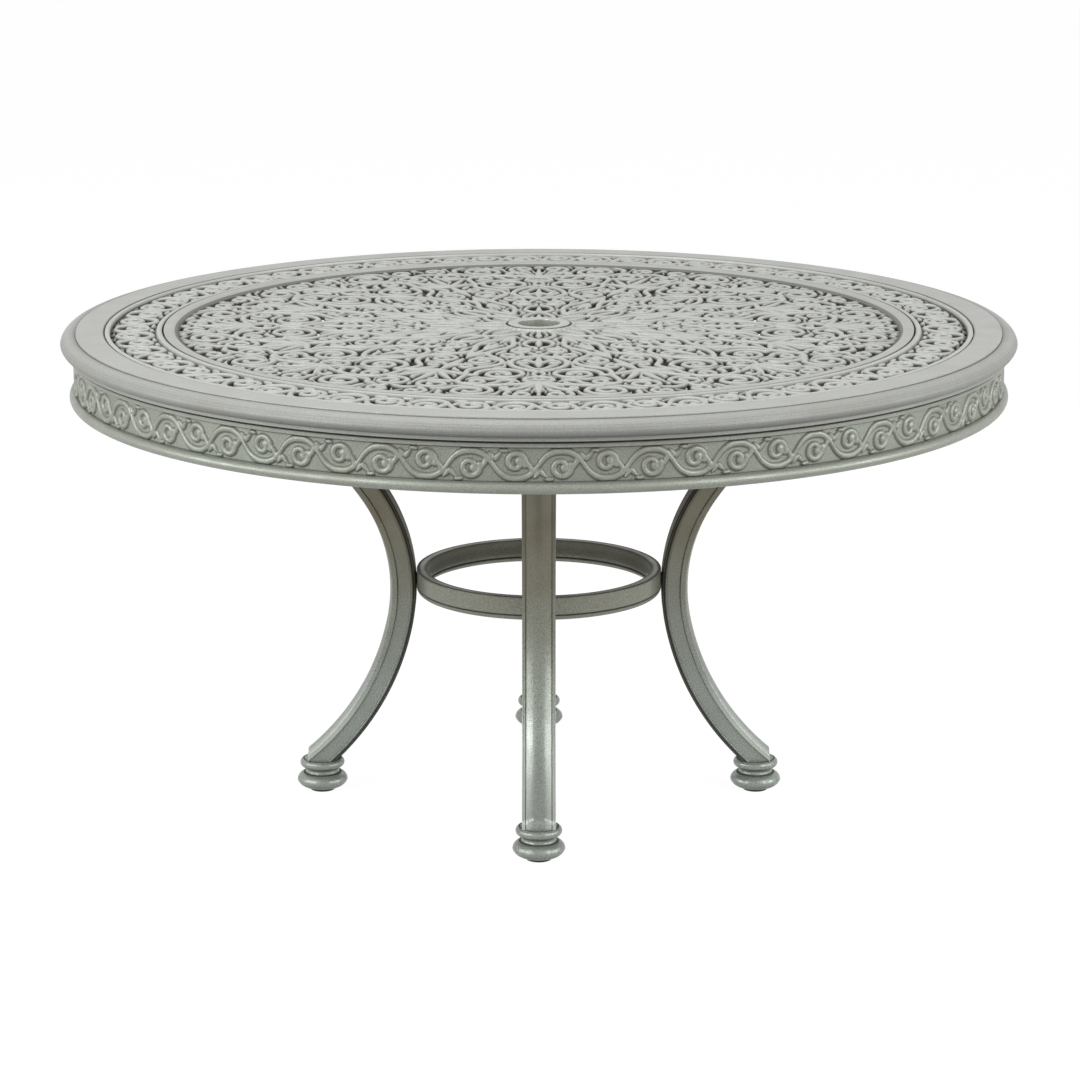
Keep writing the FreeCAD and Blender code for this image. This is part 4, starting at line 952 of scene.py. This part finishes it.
def makeLeg(side, degrees):
    whole = leg["section"] + mirrored(leg["section"][-2:0:-1])
    section, clear = outlineWithPaintedShade(whole, leg["paintedShadeSpots"] + mirrored(leg["paintedShadeSpots"]))
    low, waist, high = leg["bends"]
    down, up = (radians(turn) for turn in leg["turns"])
    middle = leg["waist"] + waist, leg["waistHeight"]
    lowCentre = middle[0] - cos(down) * (waist - low), middle[1] - sin(down) * (waist - low)
    highCentre = middle[0] - cos(up) * (waist - high), middle[1] + sin(up) * (waist - high)
    inward, sideways = section.T
    # every point of the section starts at the level cut over the foot and ends at the one under the top
    first = np.arcsin((leg["foot"] - lowCentre[1]) / (low + inward))
    last = np.arcsin((leg["top"] - highCentre[1]) / (high + inward))
    arcs = ((lowCentre, low, first, -down), (middle, waist, -down, up), (highCentre, high, up, last))
    rows = []
    for ((x, z), bend, start, end), count in zip(arcs, leg["counts"]):
        reach = bend + inward
        for share in np.linspace(0, 1, count)[1 if rows else 0:]:
            angle = start * (1 - share) + end * share
            rows.append(np.column_stack([x - reach * np.cos(angle), sideways, z + reach * np.sin(angle)]))
    rows = np.array(rows)
    toe = rows[:, :, 2] < leg["foot"] + leg["toeHeight"]
    rows[:, :, 0][toe] = np.minimum(rows[:, :, 0][toe], leg["toe"])
    flat = rows.reshape(-1, 3)
    points = np.column_stack([*turned(flat[:, 0], flat[:, 1], radians(degrees)), flat[:, 2]])
    # painted shade thinned high on the outer face; painted highlights low on the raised outer face,
    # strongest at its edges
    thin = np.interp(rows[:, :, 2], *leg["paintedShadeThinning"]) * (inward < leg["paintedShadeThinningFrom"])
    paintedHighlightShare = np.interp(rows[:, :, 2], *leg["paintedHighlight"]) * np.interp(np.abs(sideways), *leg["paintedHighlightAcross"])
    relief = clear + (1 - clear) * thin + paintedHighlightShare * (clear == 1) * (inward < leg["paintedHighlightFrom"])
    meshPiece(f"bowedLeg_{side}", points, skinned(rows, False), legCoat, "base", [f"leg_{side}"], 40,
              relief.ravel())


for side, degrees in sides.items():
    makeLeg(side, degrees)
print("legs made")


# Feet, glides and the hoop

foot = {
    "circle": 322.0, "steps": 96,
    "corners": [
        (5.06, 5.0), (20.5, 5.0, 0.5), ("arc", 16.6, -1), (37.1, 15.5), ("arc", 11.6, -1), (26.5, 27),
        ("arc", 4.7, 1), (26.5, 35.5), ("arc", 6.5, -1), (32.8, 42), ("arc", 6.5, -1), (27.5, 48.5),
        (5.06, 48.5),
    ],
    # painted shade in the neck, at the top edge where the leg sits, and under the bun
    "paintedShadeSpots": [(26.5, 27, 3), (26.5, 35.5, 3), (27.5, 48.5), (27, 6, 7, 0.3), (35, 10, 4, 0.6)],
}
glide = {"corners": [(0.5, 0), (17.8, 0, 0.3), (19, 1.2, 0.3), (19, 4.7, 0.5), (0.5, 4.7)], "steps": 64}
for side, degrees in sides.items():
    centre = polar(foot["circle"], degrees)
    turnedPiece(f"bunFoot_{side}", foot, footCoat, "base", [f"foot_{side}"], centre)
    turnedPiece(f"glidePad_{side}", glide, blackNylon, f"leveller_{side}", [f"glide_{side}"], centre)

hoop = {
    "corners": [
        (164.2, 340.5, 1.4), (179.2, 340.5, 1.4), (179.2, 315.5, 0.6), (177.7, 314, 0.4), (179.2, 312.5),
        ("arc", 6.0, 1), (173.2, 306.5), (170.2, 306.5), ("arc", 6.0, 1), (164.2, 312.5), (165.7, 314, 0.4),
        (164.2, 315.5, 0.6),
    ],
    # painted shade in the grooves, across the top face and down the inner wall
    "paintedShadeSpots": [(177.7, 314), (165.7, 314, 3.5), (177, 340.5, 4, 0.3), (165, 340.5, 3, 0.45)]
    + [(164.2, up, 6, 0.38) for up in range(320, 341, 4)],
    "steps": 240,
}
turnedPiece("tieHoop", hoop, footCoat, "base", ["stretcher_ring"])
print("feet, glides and hoop made")


# CAD pieces that keep their shape and get a finish

finishes = {
    undersidePaintedShadeCoat: ["ledge_ring", "spider_hub", "turntable_boss", "turntable_spokes"]
    + [f"{kind}_{side}" for kind in ("spider_arm", "leg_plate") for side in sides],
    zincSteel: ["tube_ring_nut", "stretcher_bolts", "leg_bolts", "hub_bolts", "rim_screws", "ledge_screws",
                "apron_screws", "frame_nuts"] + [f"glide_stud_{side}" for side in sides],
    bearingSteel: ["lower_race", "upper_race", "bearing_balls"],
    paleNylon: ["slide_pads", "ball_cage"],
    blackNylon: ["stretcher_spacers"],
}
for finish, names in finishes.items():
    for name in names:
        mesh = nodes[name].data
        mesh.materials.clear()
        mesh.materials.append(finish)
print("frame pieces finished")


# Camera, from the photo's own viewpoint

view = {"place": (0.0016, -5.127, 1.645), "down": 13.85, "lens": 120.14, "sensor": 36.0}
camera = placed("photoCamera", bpy.data.cameras.new("photoCamera"))
camera.location = view["place"]
camera.rotation_euler = (radians(90 - view["down"]), 0, 0)
camera.data.lens = view["lens"]
camera.data.sensor_width = view["sensor"]
scene.camera = camera


# Studio: a pale floor, a soft light overhead, two keys from the front and two side lights

studio = {
    "floorHalf": 14.0, "floorColour": "#8c8c8a", "floorGlow": 0.95, "floorShow": 0.14,
    "world": 0.30, "worldTint": "#f4f5f6",
}


def seenShare(tree):  # 1 where the camera sees it, straight or by way of metal or glass
    ray = addNode(tree, "LightPath", {})
    share = ray["Is Camera Ray"]
    for other in ("Is Glossy Ray", "Is Transmission Ray"):
        share = addNode(tree, "Math", {"operation": "ADD", "use_clamp": True}, {0: share, 1: ray[other]})[0]
    return share


def makeFloor():  # it lights the table as grey paper and looks white itself
    half = studio["floorHalf"]
    mesh = bpy.data.meshes.new("studioFloor")
    mesh.from_pydata([(-half, -half, 0), (half, -half, 0), (half, half, 0), (-half, half, 0)], [],
                     [(0, 1, 2, 3)])
    floor = placed("studioFloor", mesh)
    paper = bpy.data.materials.new("palePaperFloor")
    tree = blankTree(paper)
    shown = seenShare(tree)
    matt = addNode(tree, "BsdfDiffuse", {"Color": toLinear(studio["floorColour"])})
    glow = addNode(tree, "Emission", {"Color": (1, 1, 1, 1), "Strength": studio["floorGlow"]})
    faint = addNode(tree, "BsdfDiffuse", {"Color": (*[studio["floorShow"]] * 3, 1)})
    lit = addNode(tree, "AddShader", {}, {0: glow[0], 1: faint[0]})
    both = addNode(tree, "MixShader", {}, {0: shown, 1: matt[0], 2: lit[0]})
    addNode(tree, "OutputMaterial", {}, {"Surface": both[0]})
    mesh.materials.append(paper)


def makeWorld():
    world = bpy.data.worlds.new("whiteStudio")
    scene.world = world
    tree = blankTree(world)
    shown = seenShare(tree)
    soft = addNode(tree, "Background", {"Color": toLinear(studio["worldTint"]), "Strength": studio["world"]})
    white = addNode(tree, "Background", {"Color": (1, 1, 1, 1), "Strength": 1.0})
    both = addNode(tree, "MixShader", {}, {0: shown, 1: soft[0], 2: white[0]})
    addNode(tree, "OutputWorld", {}, {"Surface": both[0]})


lamps = {  # place, aim, size and power
    "overheadSoftbox": ((-0.5, -0.3, 3.6), (0, -0.1, 0.7), (3.0, 3.0), 36),
    "leftKey": ((-2.8, -2.8, 2.1), (0, 0, 0.5), (0.9, 2.6), 60),
    "rightKey": ((2.8, -2.8, 2.1), (0, 0, 0.5), (0.8, 2.6), 52),
    "leftStrip": ((-3.6, -0.9, 1.2), (0, 0, 0.4), (1.3, 1.3), 34),
    "rightStrip": ((3.6, -0.8, 1.2), (0, 0, 0.4), (1.3, 1.3), 34),
}


def makeLamp(name, place, aim, size, power):
    light = bpy.data.lights.new(name, "AREA")
    light.shape = "RECTANGLE"
    light.size, light.size_y = size
    light.energy = power
    thing = placed(name, light)
    way = np.array(aim) - np.array(place)
    tilt = acos(-way[2] / np.linalg.norm(way))
    thing.location = place
    thing.rotation_euler = (tilt, 0, atan2(way[1], way[0]) - pi / 2)


makeFloor()
makeWorld()
for name, lamp in lamps.items():
    makeLamp(name, *lamp)
print("camera, floor and lights made")
